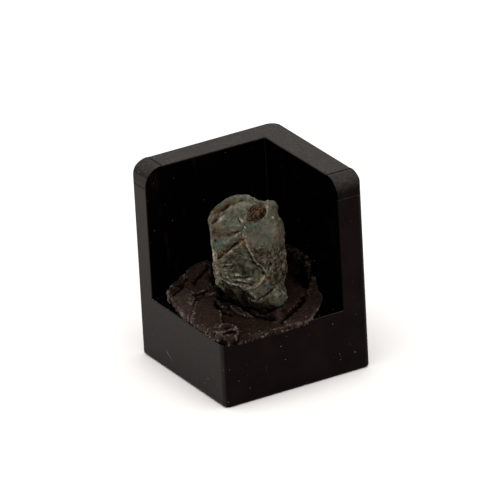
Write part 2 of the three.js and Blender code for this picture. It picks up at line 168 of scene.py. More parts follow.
STONE_LINES = [
    # The rusty crevice under the left face, with painted shade, and the pale crest below it, with a painted
    # highlight.
    Line(LEFT_CREVICE, 0.8, -0.4, "stain", 1.0),
    Line([(-4.7, 12.0), (-5.4, 11.6), (-6.1, 11.2)], 0.3, 0.0, "moss", 0.6),
    Line([(-5.4, 11.2), (-6.4, 10.4), (-7.0, 10.0)], 0.26, -0.2, "dark_and_shade", 0.9),
    Line(LEFT_CREVICE[4:], 0.3, -0.14, "dark_and_shade", 0.9),
    Line(LEFT_CREST[:3], 0.24, 0.16, "peach", 0.9),
    Line(LEFT_CREST[2:5], 0.24, 0.16, "light", 0.6),
    Line(LEFT_CREST[3:], 0.26, 0.06, "peach", 0.8),
    Line([(-5.0, 10.6), (-5.9, 9.9), (-6.9, 9.3)], 0.3, 0.0, "pink", 1.0),
    # The right crest with painted highlights, and the furrow on its left, painted dark as shade.
    Line(RIGHT_CREST[:2], 0.3, 0.12, "peach", 0.9),
    Line([(-3.7, 11.2), (-3.1, 10.2), (-2.7, 9.4)], 0.45, 0.0, "pink", 1.0),
    Line(RIGHT_CREST[1:6], 0.14, 0.12, "light", 0.5),
    Line(RIGHT_CREST[5:], 0.13, 0.12, "light", 0.6),
    Line([(-3.6, 9.4), (-3.2, 8.6), (-2.8, 7.7), (-2.3, 7.0), (-1.6, 6.5)], 0.18, -0.16, "dark_and_shade", 0.75),
    # The curved crest below the hollow, rusty on its right, with a faint painted highlight along it.
    Line(LOWER_CREST[:4], 0.16, 0.14, "light", 0.35),
    Line(LOWER_CREST[:3], 0.34, 0.0, "peach", 0.9),
    Line([(-0.8, 4.9), (-1.1, 4.3), (-1.7, 3.6), (-2.3, 3.2)], 0.22, -0.1, "stain", 1.0),
    Line(LOWER_CREST[3:], 0.2, 0.1, "peach", 0.5),
    # Stained furrows across the top of the left face, painted dark as shade, each with a painted highlight
    # below it.
    Line([(-8.4, 16.9), (-7.7, 17.2), (-7.1, 17.6), (-6.3, 18.3), (-5.6, 18.7)], 0.62, -0.18, "stain", 1.0),
    Line([(-7.6, 17.3), (-7.1, 17.6), (-6.5, 18.0)], 0.2, -0.04, "dark_and_shade", 0.4),
    Line([(-7.6, 17.9), (-6.4, 18.7), (-5.2, 19.1), (-3.9, 19.3)], 0.45, 0.0, "moss", 0.8),
    Line([(-5.8, 18.6), (-4.8, 18.8), (-3.9, 19.0), (-2.8, 19.0)], 0.26, -0.12, "deep", 0.8),
    Line([(-7.9, 16.6), (-7.3, 17.0), (-6.5, 17.4), (-5.8, 17.9)], 0.2, 0.1, "light", 0.35),
    Line([(-9.4, 15.1), (-8.6, 15.8), (-7.9, 16.4), (-7.1, 17.0)], 0.32, -0.15, "stain", 0.9),
    Line([(-9.6, 16.1), (-9.0, 16.5), (-8.5, 16.9)], 0.35, 0.0, "pink", 0.6),
    # The seam between the upper faces, with painted shade in its cracks and painted glints beside them.
    Line([(-3.5, 15.0), (-4.1, 14.2), (-4.6, 13.5), (-4.8, 12.9)], 0.3, -0.14, "cool", 1.0),
    Line([(-2.7, 14.6), (-3.4, 14.0), (-4.3, 13.5)], 0.4, 0.0, "cool", 1.0),
    Line([(-4.0, 14.4), (-4.5, 13.7)], 0.1, -0.1, "dark_and_shade", 0.7),
    Line([(-4.9, 15.8), (-4.6, 14.9)], 0.14, -0.12, "dark_and_shade", 0.9),
    Line([(-4.6, 15.6), (-4.2, 15.1)], 0.1, 0.08, "light", 1.0),
    Line([(-4.1, 14.3), (-3.8, 14.0)], 0.12, 0.08, "light", 1.0),
    Line([(-5.0, 14.6), (-4.7, 14.4)], 0.12, 0.08, "light", 0.9),
    Line([(-3.8, 16.2), (-3.7, 15.9)], 0.12, 0.06, "light", 0.8),
    # A small stained pit in the left face, with painted shade in it and a painted highlight on its lower rim.
    Line([(-6.8, 12.9), (-6.3, 13.2), (-5.6, 13.3), (-4.9, 13.4)], 0.36, -0.18, "stain", 1.0),
    Line([(-6.5, 12.7), (-6.0, 12.8), (-5.6, 13.0)], 0.14, -0.1, "dark_and_shade", 0.6),
    Line([(-5.7, 13.3), (-5.2, 13.4)], 0.12, -0.1, "dark_and_shade", 0.7),
    Line([(-6.2, 12.3), (-5.3, 12.8), (-4.8, 13.2)], 0.14, 0.08, "light", 0.4),
    # Thin level bands at the left of the hollow.
    Line([(-8.2, 7.8), (-7.2, 7.75), (-6.4, 7.85)], 0.12, -0.06, "deep", 0.7),
    Line([(-8.3, 7.5), (-7.3, 7.45), (-6.3, 7.5)], 0.07, 0.06, "light", 0.35),
    Line([(-8.2, 7.1), (-7.0, 7.15), (-6.0, 7.1)], 0.16, -0.08, "deep", 0.9),
    Line([(-8.3, 6.6), (-7.2, 6.55), (-6.2, 6.6)], 0.08, 0.06, "light", 0.45),
    Line([(-7.9, 6.2), (-7.0, 6.15)], 0.1, -0.05, "deep", 0.5),
    # Wavy ledges at the bottom of the hollow: painted highlights on them, painted shade above and below.
    Line([(-6.5, 4.8), (-5.4, 4.65), (-4.8, 4.5), (-4.0, 4.2)], 0.13, 0.12, "light", 0.5),
    Line([(-6.2, 5.2), (-5.4, 5.15), (-4.6, 4.9), (-3.9, 4.95)], 0.15, -0.08, "dark_and_shade", 0.55),
    Line([(-5.9, 4.25), (-5.0, 4.1), (-4.1, 3.85), (-3.3, 3.6)], 0.2, -0.12, "dark_and_shade", 0.7),
    # The strip down the left edge and the ribs below the hollow, with painted highlights and a little painted
    # shade.
    Line([(-9.8, 10.6), (-9.5, 9.7), (-9.2, 9.0), (-8.9, 8.2), (-8.9, 6.9), (-8.8, 6.4)],
         0.34, 0.05, "peach", 0.95),
    Line([(-9.6, 10.6), (-9.2, 9.2), (-9.0, 8.3)], 0.22, 0.06, "light", 0.8),
    Line([(-8.6, 9.6), (-8.7, 8.9)], 0.16, -0.1, "dark_and_shade", 0.8),
    Line([(-8.0, 5.6), (-7.3, 4.8), (-6.6, 3.6)], 0.2, 0.16, "light", 0.5),
    Line([(-7.2, 5.2), (-6.6, 4.4), (-5.8, 3.6)], 0.18, 0.14, "light", 0.45),
    Line([(-5.9, 3.2), (-5.3, 2.5), (-4.8, 1.9)], 0.16, 0.14, "light", 0.35),
    # The groove left of the lump, and the painted highlight on the tip beside it.
    Line([(0.4, 2.9), (-0.5, 2.1), (-1.4, 1.4), (-2.4, 0.9)], 0.2, -0.2, "stain", 0.9),
    Line([(-3.5, 2.2), (-3.2, 1.8), (-2.8, 1.4)], 0.24, 0.16, "light", 0.3),
    # Painted highlights on the edges beside the pit and down the right side.
    Line([(0.1, 18.3), (0.0, 17.5), (-0.1, 16.8)], 0.14, 0.1, "light", 0.7),
    Line([(2.5, 11.6), (2.6, 9.8), (2.6, 7.6)], 0.14, 0.0, "light", 0.5),
]

STONE_SPOTS = [
    # Upper left, with painted highlights and some painted shade.
    Spot((-7.8, 15.8), (0.55, 0.3), 45, 0.14, "light", 1.0),
    Spot((-7.0, 15.4), (0.28, 0.16), 45, -0.06, "dark_and_shade", 0.6),
    Spot((-8.9, 13.5), (1.0, 1.2), 0, 0.0, "pink", 1.0),
    Spot((-9.1, 13.6), (0.6, 0.7), 0, -0.14, "deep", 1.0),
    Spot((-9.0, 13.2), (0.9, 0.9), 0, 0.0, "dark_and_shade", 0.4),
    Spot((-8.2, 12.9), (0.6, 0.5), 20, -0.12, "stain", 0.8),
    Spot((-8.2, 14.2), (0.5, 0.7), 0, 0.0, "pink", 0.6),
    Spot((-8.9, 12.0), (0.26, 0.34), -20, -0.12, "dark_and_shade", 1.0),
    Spot((-7.0, 14.6), (0.6, 1.9), 20, 0.0, "cool", 0.8),
    Spot((-7.9, 11.2), (1.2, 1.3), 40, 0.0, "cool", 1.0),
    Spot((-5.4, 11.9), (0.7, 0.5), 30, 0.0, "cool", 0.8),
    Spot((-5.6, 16.2), (1.2, 1.4), 0, 0.0, "cool", 0.4),
    Spot((-7.4, 13.4), (0.7, 0.9), 20, 0.0, "deep", 0.35),
    Spot((-6.9, 11.9), (0.9, 0.4), 35, 0.0, "light", 0.25),
    Spot((-4.6, 18.0), (1.0, 0.8), 20, 0.05, "light", 0.3),
    Spot((-5.2, 19.7), (2.6, 0.35), 5, 0.0, "light", 0.25),
    Spot((-2.2, 19.5), (0.3, 0.2), -30, 0.05, "light", 1.0),
    Spot((-9.6, 12.6), (0.14, 2.4), 0, 0.0, "light", 0.5),
    # The oval pit, with painted shade on its right.
    Spot((-1.7, 17.1), (0.35, 0.3), 0, -0.08, "stain", 0.9),
    Spot((-1.2, 16.7), (0.35, 0.25), 0, -0.08, "dark_and_shade", 0.5),
    Spot((-2.9, 17.3), (0.5, 0.6), -40, 0.0, "moss", 0.9),
    Spot((-0.6, 17.6), (0.4, 0.6), 0, -0.05, "deep", 0.7),
    Spot((-2.3, 16.4), (0.6, 0.4), 30, 0.0, "pink", 0.9),
    Spot((-1.2, 15.7), (0.7, 0.3), 10, 0.0, "pink", 0.8),
    Spot((-2.2, 15.2), (0.8, 0.3), -10, 0.0, "moss", 0.7),
    # Upper right, with painted glints and a faint painted highlight.
    Spot((0.9, 16.7), (0.4, 0.7), 0, -0.08, "pink", 0.9),
    Spot((1.1, 17.4), (0.4, 0.3), 0, -0.06, "deep", 0.6),
    Spot((0.8, 15.6), (0.18, 0.18), 0, 0.05, "light", 1.0),
    Spot((1.9, 15.3), (0.16, 0.2), 0, 0.05, "light", 0.7),
    Spot((-1.6, 12.4), (1.6, 1.2), 0, 0.0, "pink", 0.5),
    Spot((-0.9, 13.0), (2.0, 2.2), 0, 0.0, "cool", 0.45),
    Spot((-2.6, 14.0), (1.2, 0.6), 10, 0.0, "cool", 0.9),
    Spot((0.2, 13.8), (1.4, 0.9), 0, 0.0, "light", 0.18),
    Spot((1.7, 12.6), (0.5, 1.4), 0, -0.06, "pink", 0.8),
    Spot((1.6, 14.2), (0.3, 0.5), 0, -0.05, "deep", 0.5),
    Spot((0.2, 11.4), (0.6, 0.8), 0, 0.0, "cool", 0.5),
    Spot((0.9, 12.3), (0.5, 0.9), 0, 0.0, "peach", 0.3),
    Spot((0.95, 17.2), (0.14, 0.7), 5, -0.06, "stain", 0.5),
    Spot((2.0, 9.2), (0.3, 0.5), 0, -0.06, "deep", 0.7),
    Spot((1.0, 6.2), (0.3, 0.4), 10, -0.08, "deep", 0.8),
    Spot((0.2, 8.4), (0.4, 0.3), 0, -0.06, "deep", 0.5),
    Spot((-0.4, 9.6), (0.34, 0.7), 8, -0.2, "stain", 1.0),
    Spot((-1.5, 9.9), (0.2, 0.4), 0, -0.08, "stain", 0.6),
    Spot((-1.6, 9.1), (1.0, 0.6), 0, 0.0, "pink", 0.9),
    Spot((2.1, 8.9), (0.22, 0.6), 0, 0.0, "peach", 0.5),
    Spot((1.4, 9.9), (0.8, 0.7), 0, 0.0, "moss", 0.7),
    Spot((-4.2, 12.3), (0.4, 0.45), 0, 0.05, "peach", 0.8),
    # The hollow, darkest below its middle, with painted shade in a small hole and painted glints low down.
    Spot((-4.6, 6.8), (3.4, 3.6), 0, 0.0, "deep", 0.8),
    Spot((-2.8, 7.6), (0.45, 0.8), -25, -0.08, "deep", 1.0),
    Spot((-4.9, 6.3), (0.7, 0.9), 0, -0.06, "deep", 1.0),
    Spot((-3.4, 6.6), (0.8, 0.5), 0, 0.04, "light", 0.16),
    Spot((-4.1, 5.6), (1.3, 0.8), 0, -0.08, "deep", 1.0),
    Spot((-5.2, 10.2), (0.4, 0.5), -30, 0.0, "moss", 0.7),
    Spot((-6.2, 8.9), (0.5, 0.3), 30, 0.0, "pink", 0.9),
    Spot((-3.9, 8.4), (0.7, 1.0), 0, 0.05, "light", 0.16),
    Spot((-1.3, 5.6), (0.26, 0.26), 0, -0.35, "dark_and_shade", 1.0),
    Spot((-5.5, 5.5), (0.44, 0.2), -8, 0.1, "light", 1.0),
    Spot((-6.1, 5.6), (0.5, 0.2), 0, 0.0, "light", 0.4),
    Spot((-3.6, 4.7), (0.42, 0.18), 5, 0.1, "light", 1.0),
    # Lower right, with painted highlights, and painted shade in its pits and low down.
    Spot((0.85, 7.2), (0.25, 0.25), 0, -0.15, "dark_and_shade", 0.7),
    Spot((2.0, 5.4), (0.22, 0.4), 0, -0.15, "dark_and_shade", 0.7),
    Spot((2.0, 8.1), (0.4, 0.6), 0, 0.0, "moss", 0.8),
    Spot((0.0, 6.8), (0.6, 0.6), 0, 0.0, "light", 0.2),
    Spot((1.5, 3.6), (0.8, 0.5), 0, 0.06, "peach", 0.4),
    Spot((-0.2, 4.6), (0.4, 0.6), 0, 0.0, "peach", 0.4),
    Spot((-0.6, 3.4), (1.2, 0.5), 15, 0.0, "cool", 0.9),
    Spot((-1.9, 2.4), (0.8, 0.4), 30, 0.0, "pink", 0.7),
    Spot((0.9, 1.6), (0.7, 0.5), 20, 0.0, "light", 0.22),
    Spot((-0.6, 0.6), (0.7, 0.35), 10, 0.0, "moss", 0.9),
    Spot((-8.7, 5.8), (0.9, 0.9), 0, 0.0, "moss", 0.7),
    Spot((1.2, 1.2), (1.8, 1.4), 0, 0.0, "dark_and_shade", 0.3),
    Spot((-1.0, 3.0), (1.6, 1.0), 30, 0.0, "dark_and_shade", 0.2),
]

# Three sizes of chips on the broken faces: their height, what the calm faces keep, their size and seed.
Chipping = namedtuple("Chipping", "height kept size seed")
STONE_CHIPS = (Chipping(0.24, 0.25, 2.4, 3.1), Chipping(0.2, 0.1, 1.0, 9.4), Chipping(0.07, 0.15, 0.5, 5.7))

STONE_TINTS = ("light", "peach", "pink", "cool", "moss", "deep", "stain", "dark_and_shade", "calm")


def smooth(value, low, high):
    """0 below low, 1 above high, and a smooth climb between them."""
    share = np.clip((value - low) / (high - low), 0, 1)
    return share * share * (3 - 2 * share)


def bell(distance, width):
    return np.exp(-(distance / width) ** 2)


def from_path(places, path):
    """How far each flat place is from a path, and which side of it: plus on the left of its run."""
    best = np.full(len(places), 1e9)
    side = np.zeros(len(places))
    for start, end in zip(path, path[1:]):
        start = np.array(start)
        run = np.array(end) - start
        away = places - start
        share = np.clip(away @ run / (run @ run), 0, 1)
        distance = np.linalg.norm(away - share[:, None] * run, axis=1)
        closer = distance < best
        best[closer] = distance[closer]
        side[closer] = np.sign(run[0] * away[closer, 1] - run[1] * away[closer, 0])
    return best, side


def within(places, outline, soft):
    """1 inside a closed outline and 0 outside it, with a soft edge."""
    closed = [*outline, outline[0]]
    distance, _ = from_path(places, closed)
    inside = np.zeros(len(places), bool)
    for (x0, y0), (x1, y1) in zip(closed, closed[1:]):
        if y0 != y1:
            spans = (y0 > places[:, 1]) != (y1 > places[:, 1])
            crosses = places[:, 0] < x0 + (places[:, 1] - y0) * (x1 - x0) / (y1 - y0)
            inside ^= spans & crosses
    return smooth(np.where(inside, distance, -distance), -soft, soft)


def spot_mask(places, middle, size, turn=0.0):
    """1 in the middle of an oval and less outside it, with its turn in degrees."""
    turn = math.radians(turn)
    away = places - np.array(middle)
    across = away[:, 0] * math.cos(turn) + away[:, 1] * math.sin(turn)
    up = away[:, 1] * math.cos(turn) - away[:, 0] * math.sin(turn)
    return np.exp(-(across / size[0]) ** 2 - (up / size[1]) ** 2)


def rough_noise(places, size, seed, octaves=3):
    """Fractal noise over places in millimetres, about -1 to 1, with features of the given size."""
    scaled = places / np.array(size) + seed
    return np.array([noise.fractal(place, 1.0, 2.0, octaves) for place in map(Vector, scaled)])


def ridge_noise(places, size, seed):
    """Noise with sharp crests, from 0 in the valleys to about 1 on the crests."""
    scaled = places / np.array(size) + seed
    return np.array([1 - abs(noise.noise(place)) * 2 for place in map(Vector, scaled)])


def chips(places, size, seed, slope=1.0):
    """Flat chips of broken crystal: each cell is a plane with its own lean, and the lowest plane wins."""
    scaled = places / size + seed
    corners = np.array([noise.voronoi(Vector(place))[1][:3] for place in scaled])
    hashed = np.sin(corners @ np.array([[12.99, 39.35, 73.16], [78.23, 11.14, 52.24], [37.72, 83.16, 9.15]]))
    leans = 2 * np.modf(np.abs(hashed) * 437.58)[0] - 1
    planes = np.einsum("nkd,nkd->nk", scaled[:, None, :] - corners, leans) * slope
    return planes.min(axis=1) + 0.25 * slope


class Sculpture:
    """A mesh whose corners are moved and tinted by what stands at their place, in a frame of its own."""

    def __init__(self, piece, origin=(0, 0, 0), turn=0.0):
        self.mesh = piece.data
        self.origin = np.array(origin, float)
        self.axes = np.array(Matrix.Rotation(turn, 3, "Z"))
        self.tints = {}
        edges = np.empty(2 * len(self.mesh.edges), np.int32)
        self.mesh.edges.foreach_get("vertices", edges)
        self.edges = edges.reshape(-1, 2)
        self.read()

    def read(self):
        """Takes places and normals from the mesh."""
        flat = np.empty(3 * len(self.mesh.vertices), np.float32)
        self.mesh.vertices.foreach_get("co", flat)
        self.places = (flat.reshape(-1, 3) / MM - self.origin) @ self.axes
        self.mesh.vertex_normals.foreach_get("vector", flat)
        self.normals = flat.reshape(-1, 3) @ self.axes

    def write(self):
        """Puts the moved places back into the mesh."""
        world = (self.places @ self.axes.T + self.origin) * MM
        self.mesh.vertices.foreach_set("co", world.astype(np.float32).ravel())
        self.mesh.update()

    def raise_by(self, height):
        self.places = self.places + self.normals * height[:, None]
        self.write()
        self.read()

    def soften(self, share, rounds):
        """Smooths the surface where share is 1, and leaves it where share is 0."""
        smoothed = self.around(self.places, rounds)
        self.places = self.places + (smoothed - self.places) * share[:, None]
        self.write()
        self.read()

    def tint(self, name, amount):
        """Adds to a tint, which never goes over 1."""
        self.tints[name] = 1 - (1 - self.tints.get(name, 0.0)) * (1 - np.clip(amount, 0, 1))

    def keep_tints(self, names):
        for name in names:
            values = np.clip(self.tints.get(name, np.zeros(len(self.places))), 0, 1)
            layer = self.mesh.attributes.new(name, "FLOAT", "POINT")
            layer.data.foreach_set("value", values.astype(np.float32))

    def around(self, values, rounds):
        """The values, each averaged with its neighbours' a number of times."""
        count = len(self.places)
        first, second = self.edges.T
        meets = np.bincount(first, minlength=count) + np.bincount(second, minlength=count) + 1
        for _ in range(rounds):
            columns = []
            for column in values.T:
                total = column + np.bincount(first, column[second], count)
                total += np.bincount(second, column[first], count)
                columns.append(total / meets)
            values = np.array(columns).T
        return values

    def standing(self, rounds):
        """How far each corner stands out of the surface around it, in millimetres."""
        return np.sum((self.places - self.around(self.places, rounds)) * self.normals, axis=1)


def draw_marks(piece, marks, places, shown, worn):
    """Tints a piece with lines or spots, by the share worn, and returns their height, by the share shown."""
    height = np.zeros(len(places))
    for mark in marks:
        if isinstance(mark, Line):
            cover = bell(from_path(places, mark.points)[0], mark.width)
        else:
            cover = spot_mask(places, mark.middle, mark.size, mark.turn)
        height += mark.rise * cover * shown
        piece.tint(mark.tint, mark.strength * cover * worn)
    return height


def merged_copy(node):
    """A CAD node's mesh with its loose triangles joined; the node itself stays as it is."""
    shape = bmesh.new()
    shape.from_mesh(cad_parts[node].data)
    bmesh.ops.remove_doubles(shape, verts=shape.verts, dist=1e-6)
    return shape


def new_piece(name, shape):
    """An object at the origin that holds a finished bmesh."""
    mesh = bpy.data.meshes.new(name)
    shape.to_mesh(mesh)
    shape.free()
    piece = bpy.data.objects.new(name, mesh)
    bpy.context.scene.collection.objects.link(piece)
    return piece


def voxel_piece(name, node, voxel):
    """A finely meshed copy of a CAD node."""
    piece = new_piece(name, merged_copy(node))
    modifier = piece.modifiers.new("Fine mesh", "REMESH")
    modifier.mode = "VOXEL"
    modifier.voxel_size = voxel
    modifier.use_smooth_shade = True
    fine = bpy.data.meshes.new_from_object(piece.evaluated_get(bpy.context.evaluated_depsgraph_get()))
    piece.modifiers.clear()
    coarse = piece.data
    piece.data = fine
    bpy.data.meshes.remove(coarse)
    fine.name = name
    return piece


class Value:
    """A shader socket that can be added and multiplied, each time by a Math node."""

    def __init__(self, graph, socket):
        self.graph = graph
        self.socket = socket

    def math(self, operation, other):
        return self.graph.node("ShaderNodeMath", {"operation": operation}, {0: self, 1: other})

    def __add__(self, other):
        return self.math("ADD", other)

    def __mul__(self, other):
        return self.math("MULTIPLY", other)

    def ramp(self, low, high, start=0.0, end=1.0):
        """start below low, end above high, and a smooth climb between them."""
        inputs = {"Value": self, "From Min": low, "From Max": high, "To Min": start, "To Max": end}
        return self.graph.node("ShaderNodeMapRange", {"interpolation_type": "SMOOTHSTEP"}, inputs)


class Graph:
    """A new material, and the one way that its nodes are made."""

    def __init__(self, name):
        self.material = bpy.data.materials.new(name)
        self.material.use_nodes = True
        self.tree = self.material.node_tree
        self.tree.nodes.clear()

    def node(self, kind, settings=None, inputs=None, output=0):
        """Adds a node with its settings, then the values or links of its sockets, and returns one output."""
        made = self.tree.nodes.new(kind)
        for name, setting in (settings or {}).items():
            setattr(made, name, setting)
        for name, value in (inputs or {}).items():
            if isinstance(value, Value):
                self.tree.links.new(value.socket, made.inputs[name])
            else:
                made.inputs[name].default_value = value
        return Value(self, made.outputs[output]) if made.outputs else None

    def places(self):
        return self.node("ShaderNodeTexCoord", output="Object")

    def attribute(self, name):
        return self.node("ShaderNodeAttribute", {"attribute_name": name}, output="Fac")

    def noise(self, size, detail=3.0, roughness=0.55, stretch=(1, 1, 1), distortion=0.0):
        """Noise with features of a size in metres, about 0.5 in the middle."""
        scale = [part / size for part in stretch]
        scaled = self.node("ShaderNodeMapping", {}, {"Vector": self.places(), "Scale": scale})
        return self.node("ShaderNodeTexNoise", {}, {
            "Vector": scaled,
            "Scale": 1.0,
            "Detail": detail,
            "Roughness": roughness,
            "Distortion": distortion,
        }, "Fac")

    def mix(self, first, second, share, blend="MIX"):
        inputs = {0: share, 6: first, 7: second}
        return self.node("ShaderNodeMix", {"data_type": "RGBA", "blend_type": blend}, inputs, 2)

    def shaded(self, colour, shade):
        """A colour, darkened or lightened by a factor."""
        grey = self.node("ShaderNodeCombineXYZ", {}, {"X": shade, "Y": shade, "Z": shade})
        return self.mix(colour, grey, 1.0, "MULTIPLY")

    def part(self, vector, axis):
        """One part of a vector: X, Y or Z."""
        return self.node("ShaderNodeSeparateXYZ", {}, {0: vector}, axis)

    def bump(self, height, distance, strength):
        return self.node("ShaderNodeBump", {}, {"Height": height, "Distance": distance, "Strength": strength})

    def finish(self, inputs):
        shader = self.node("ShaderNodeBsdfPrincipled", {}, inputs)
        self.node("ShaderNodeOutputMaterial", {}, {"Surface": shader})
        return self.material


def rgba(colour):
    return (*colour, 1.0)


class ZirconSettings(bpy.types.PropertyGroup):
    voxel: bpy.props.FloatProperty(
        name="Mesh size", description="Size of the stone's fine mesh", default=0.125 * MM, min=0.1 * MM,
        max=0.5 * MM, unit="LENGTH", precision=6)
    roughness: bpy.props.FloatProperty(
        name="Break", description="How rough the broken faces are", default=1.0, min=0.0, max=2.0)
    grey: bpy.props.FloatVectorProperty(
        name="Grey", description="Colour of the clean crystal", subtype="COLOR", default=(0.075, 0.07, 0.05))
    green: bpy.props.FloatVectorProperty(
        name="Green", description="Colour of its darker clouds", subtype="COLOR",
        default=(0.042, 0.04, 0.024))
    blue: bpy.props.FloatVectorProperty(
        name="Blue grey", description="Colour of its cooler parts", subtype="COLOR",
        default=(0.043, 0.054, 0.046))
    pink: bpy.props.FloatVectorProperty(
        name="Pink grey", description="Colour of its faintly stained parts", subtype="COLOR",
        default=(0.08, 0.049, 0.031))
    deep: bpy.props.FloatVectorProperty(
        name="Deep olive", description="Colour of the hollow and the foot", subtype="COLOR",
        default=(0.0095, 0.008, 0.0034))
    moss: bpy.props.FloatVectorProperty(
        name="Moss", description="Colour of the yellow-green crust", subtype="COLOR",
        default=(0.032, 0.028, 0.011))
    stain: bpy.props.FloatVectorProperty(
        name="Stain", description="Colour of the rust stains", subtype="COLOR",
        default=(0.03, 0.0145, 0.0052))
    rust: bpy.props.FloatVectorProperty(
        name="Rust", description="Colour of the brightest rust", subtype="COLOR",
        default=(0.08, 0.038, 0.016))
    peach: bpy.props.FloatVectorProperty(
        name="Peach", description="Colour of the stained crests", subtype="COLOR",
        default=(0.17, 0.112, 0.066))
    # Also the colour of the painted highlights and glints on crests, ledges, ribs and edges.
    light: bpy.props.FloatVectorProperty(
        name="Light", description="Colour of bright broken edges", subtype="COLOR",
        default=(0.25, 0.232, 0.185))


class PuttySettings(bpy.types.PropertyGroup):
    voxel: bpy.props.FloatProperty(
        name="Mesh size", description="Size of the putty's fine mesh", default=0.17 * MM, min=0.12 * MM,
        max=0.5 * MM, unit="LENGTH", precision=6)
    gap: bpy.props.FloatProperty(
        name="Gap", description="Gap round the stone in the solid, which the putty closes", default=0.53 * MM,
        unit="LENGTH", precision=6)
    brown: bpy.props.FloatVectorProperty(
        name="Brown", description="Colour of the putty", subtype="COLOR", default=(0.0116, 0.0063, 0.0042))
    worn: bpy.props.FloatVectorProperty(
        name="Worn brown", description="Colour of its paler flakes", subtype="COLOR",
        default=(0.042, 0.027, 0.022))
    # Also the colour of the painted highlights on the putty's raised rims.
    pale: bpy.props.FloatVectorProperty(
        name="Pale brown", description="Colour of its thin, dry rims", subtype="COLOR",
        default=(0.115, 0.086, 0.072))


class HolderSettings(bpy.types.PropertyGroup):
    bevel: bpy.props.FloatProperty(
        name="Edge", description="Width of the soft edge on the moulding", default=0.16 * MM, unit="LENGTH",
        precision=6)
    satin: bpy.props.FloatVectorProperty(
        name="Satin black", description="Colour of the outside", subtype="COLOR",
        default=(0.0022, 0.0003, 0.0003))
    # Also the colour of the painted sheen on the outer left face.
    dusty: bpy.props.FloatVectorProperty(
        name="Dusty black", description="Colour where fine dust lies on it", subtype="COLOR",
        default=(0.05, 0.043, 0.038))
    gloss: bpy.props.FloatVectorProperty(
        name="Gloss black", description="Colour of the inner faces", subtype="COLOR",
        default=(0.0006, 0.0004, 0.0004))
    # The colour of the painted reflection: faint upright streaks on the inner faces.
    painted_reflection: bpy.props.FloatVectorProperty(
        name="Reflection", description="Colour of the faint upright reflections on the inner faces", subtype="COLOR",
        default=(0.0035, 0.0018, 0.0012))
    fine_dust: bpy.props.FloatVectorProperty(
        name="Fine dust", description="Colour of the finest dust on the inner faces", subtype="COLOR",
        default=(0.012, 0.011, 0.01))


class DustSettings(bpy.types.PropertyGroup):
    colour: bpy.props.FloatVectorProperty(
        name="Dust", description="Colour of the dust and lint", subtype="COLOR", default=(0.22, 0.21, 0.195))
    fine: bpy.props.IntProperty(
        name="Fine specks", description="Number of fine specks all over the holder", default=420, min=0)
    seed: bpy.props.IntProperty(name="Seed", description="Start of the fine specks' random places", default=5)


class StageSettings(bpy.types.PropertyGroup):
    floor: bpy.props.FloatVectorProperty(
        name="Floor", description="Colour of the floor", subtype="COLOR", default=(0.92, 0.9, 0.87))
    sky: bpy.props.FloatProperty(
        name="Surroundings", description="Brightness of the white surroundings", default=1.0, min=0.0)
    key: bpy.props.FloatProperty(
        name="Softbox", description="Power of the large soft light", default=1.15, min=0.0, unit="POWER")


def front_view(stone):
    """Where each place of the stone is in the front view (across, up), and how much it faces the camera."""
    view = np.array([0, -math.cos(VIEW_RISE), math.sin(VIEW_RISE)])
    up = stone.places[:, 2] + math.tan(VIEW_RISE) * stone.places[:, 1]
    return np.column_stack([stone.places[:, 0], up]), smooth(stone.normals @ view, 0.02, 0.3)


def soft_areas(front, facing):
    """How much each place belongs to each area of the stone's front."""
    return {name: within(front, STONE_AREAS[name], soft) * facing for name, soft in AREA_EDGES.items()}


def round_corners(stone, front, facing):
    """Takes the solid's hard edges off, most where the real stone is rounded, and shifts its outline."""
    stone.soften(np.ones(len(front)), 8)
    rounded = 0.8 * bell(from_path(front, LEFT_CREVICE)[0], 0.9) * facing
    for corner in ROUNDED_CORNERS:
        mask = spot_mask(front, corner.middle, corner.size, corner.turn)
        rounded = np.maximum(rounded, corner.share * mask)
    stone.soften(np.clip(rounded, 0, 1), 90)
    for push in STONE_PUSHES:
        share = spot_mask(front, push.middle, push.size)
        stone.places[:, [0, 2]] += share[:, None] * np.array(push.move)
    stone.places[:, 2] = np.maximum(stone.places[:, 2], 0.02)
    stone.write()
    stone.read()


def stone_height(places, front, areas):
    """The height of the broken faces: smooth above, chipped at the lower right, rippled in the hollow."""
    calm = np.clip(areas["left"] + areas["right"] + areas["hollow"] + areas["low"] + areas["lump"], 0, 1)
    broken = np.clip(0.55 * (1 - calm) + 0.45 * np.maximum(areas["rough"], areas["ribbed"]), 0, 1)
    height = 0.05 * rough_noise(places, 0.6, 1.3)
    for chipping in STONE_CHIPS:
        height += chipping.height * (chipping.kept + broken) * chips(places, chipping.size, chipping.seed)
    # Long low waves run across the left face, from its lower left to its upper right.
    leaning = np.column_stack([places @ [0.83, 0, 0.55], places[:, 1], places @ [-0.55, 0, 0.83]])
    height += 0.11 * areas["left"] * rough_noise(leaning, (3.0, 1.0, 0.55), 2.2)
    height += 0.06 * areas["right"] * rough_noise(places, (0.9, 0.9, 1.6), 7.7)
    # Rings of ripples in the lower middle of the hollow.
    wobble = rough_noise(places, 1.1, 4.4)
    ring = np.hypot(front[:, 0] + 4.6, (front[:, 1] - 8.6) * 0.8)
    ripples = np.sin(2 * math.pi * (ring / 1.1 + 0.5 * wobble)) * smooth(ring, 2.2, 3.6)
    height += areas["hollow"] * (0.05 * ripples + 0.09 * rough_noise(places, (1.3, 1.0, 0.6), 3.8) - 0.2)
    height += areas["pit"] * (0.12 * chips(places, 0.6, 8.8) - 0.24)
    return height


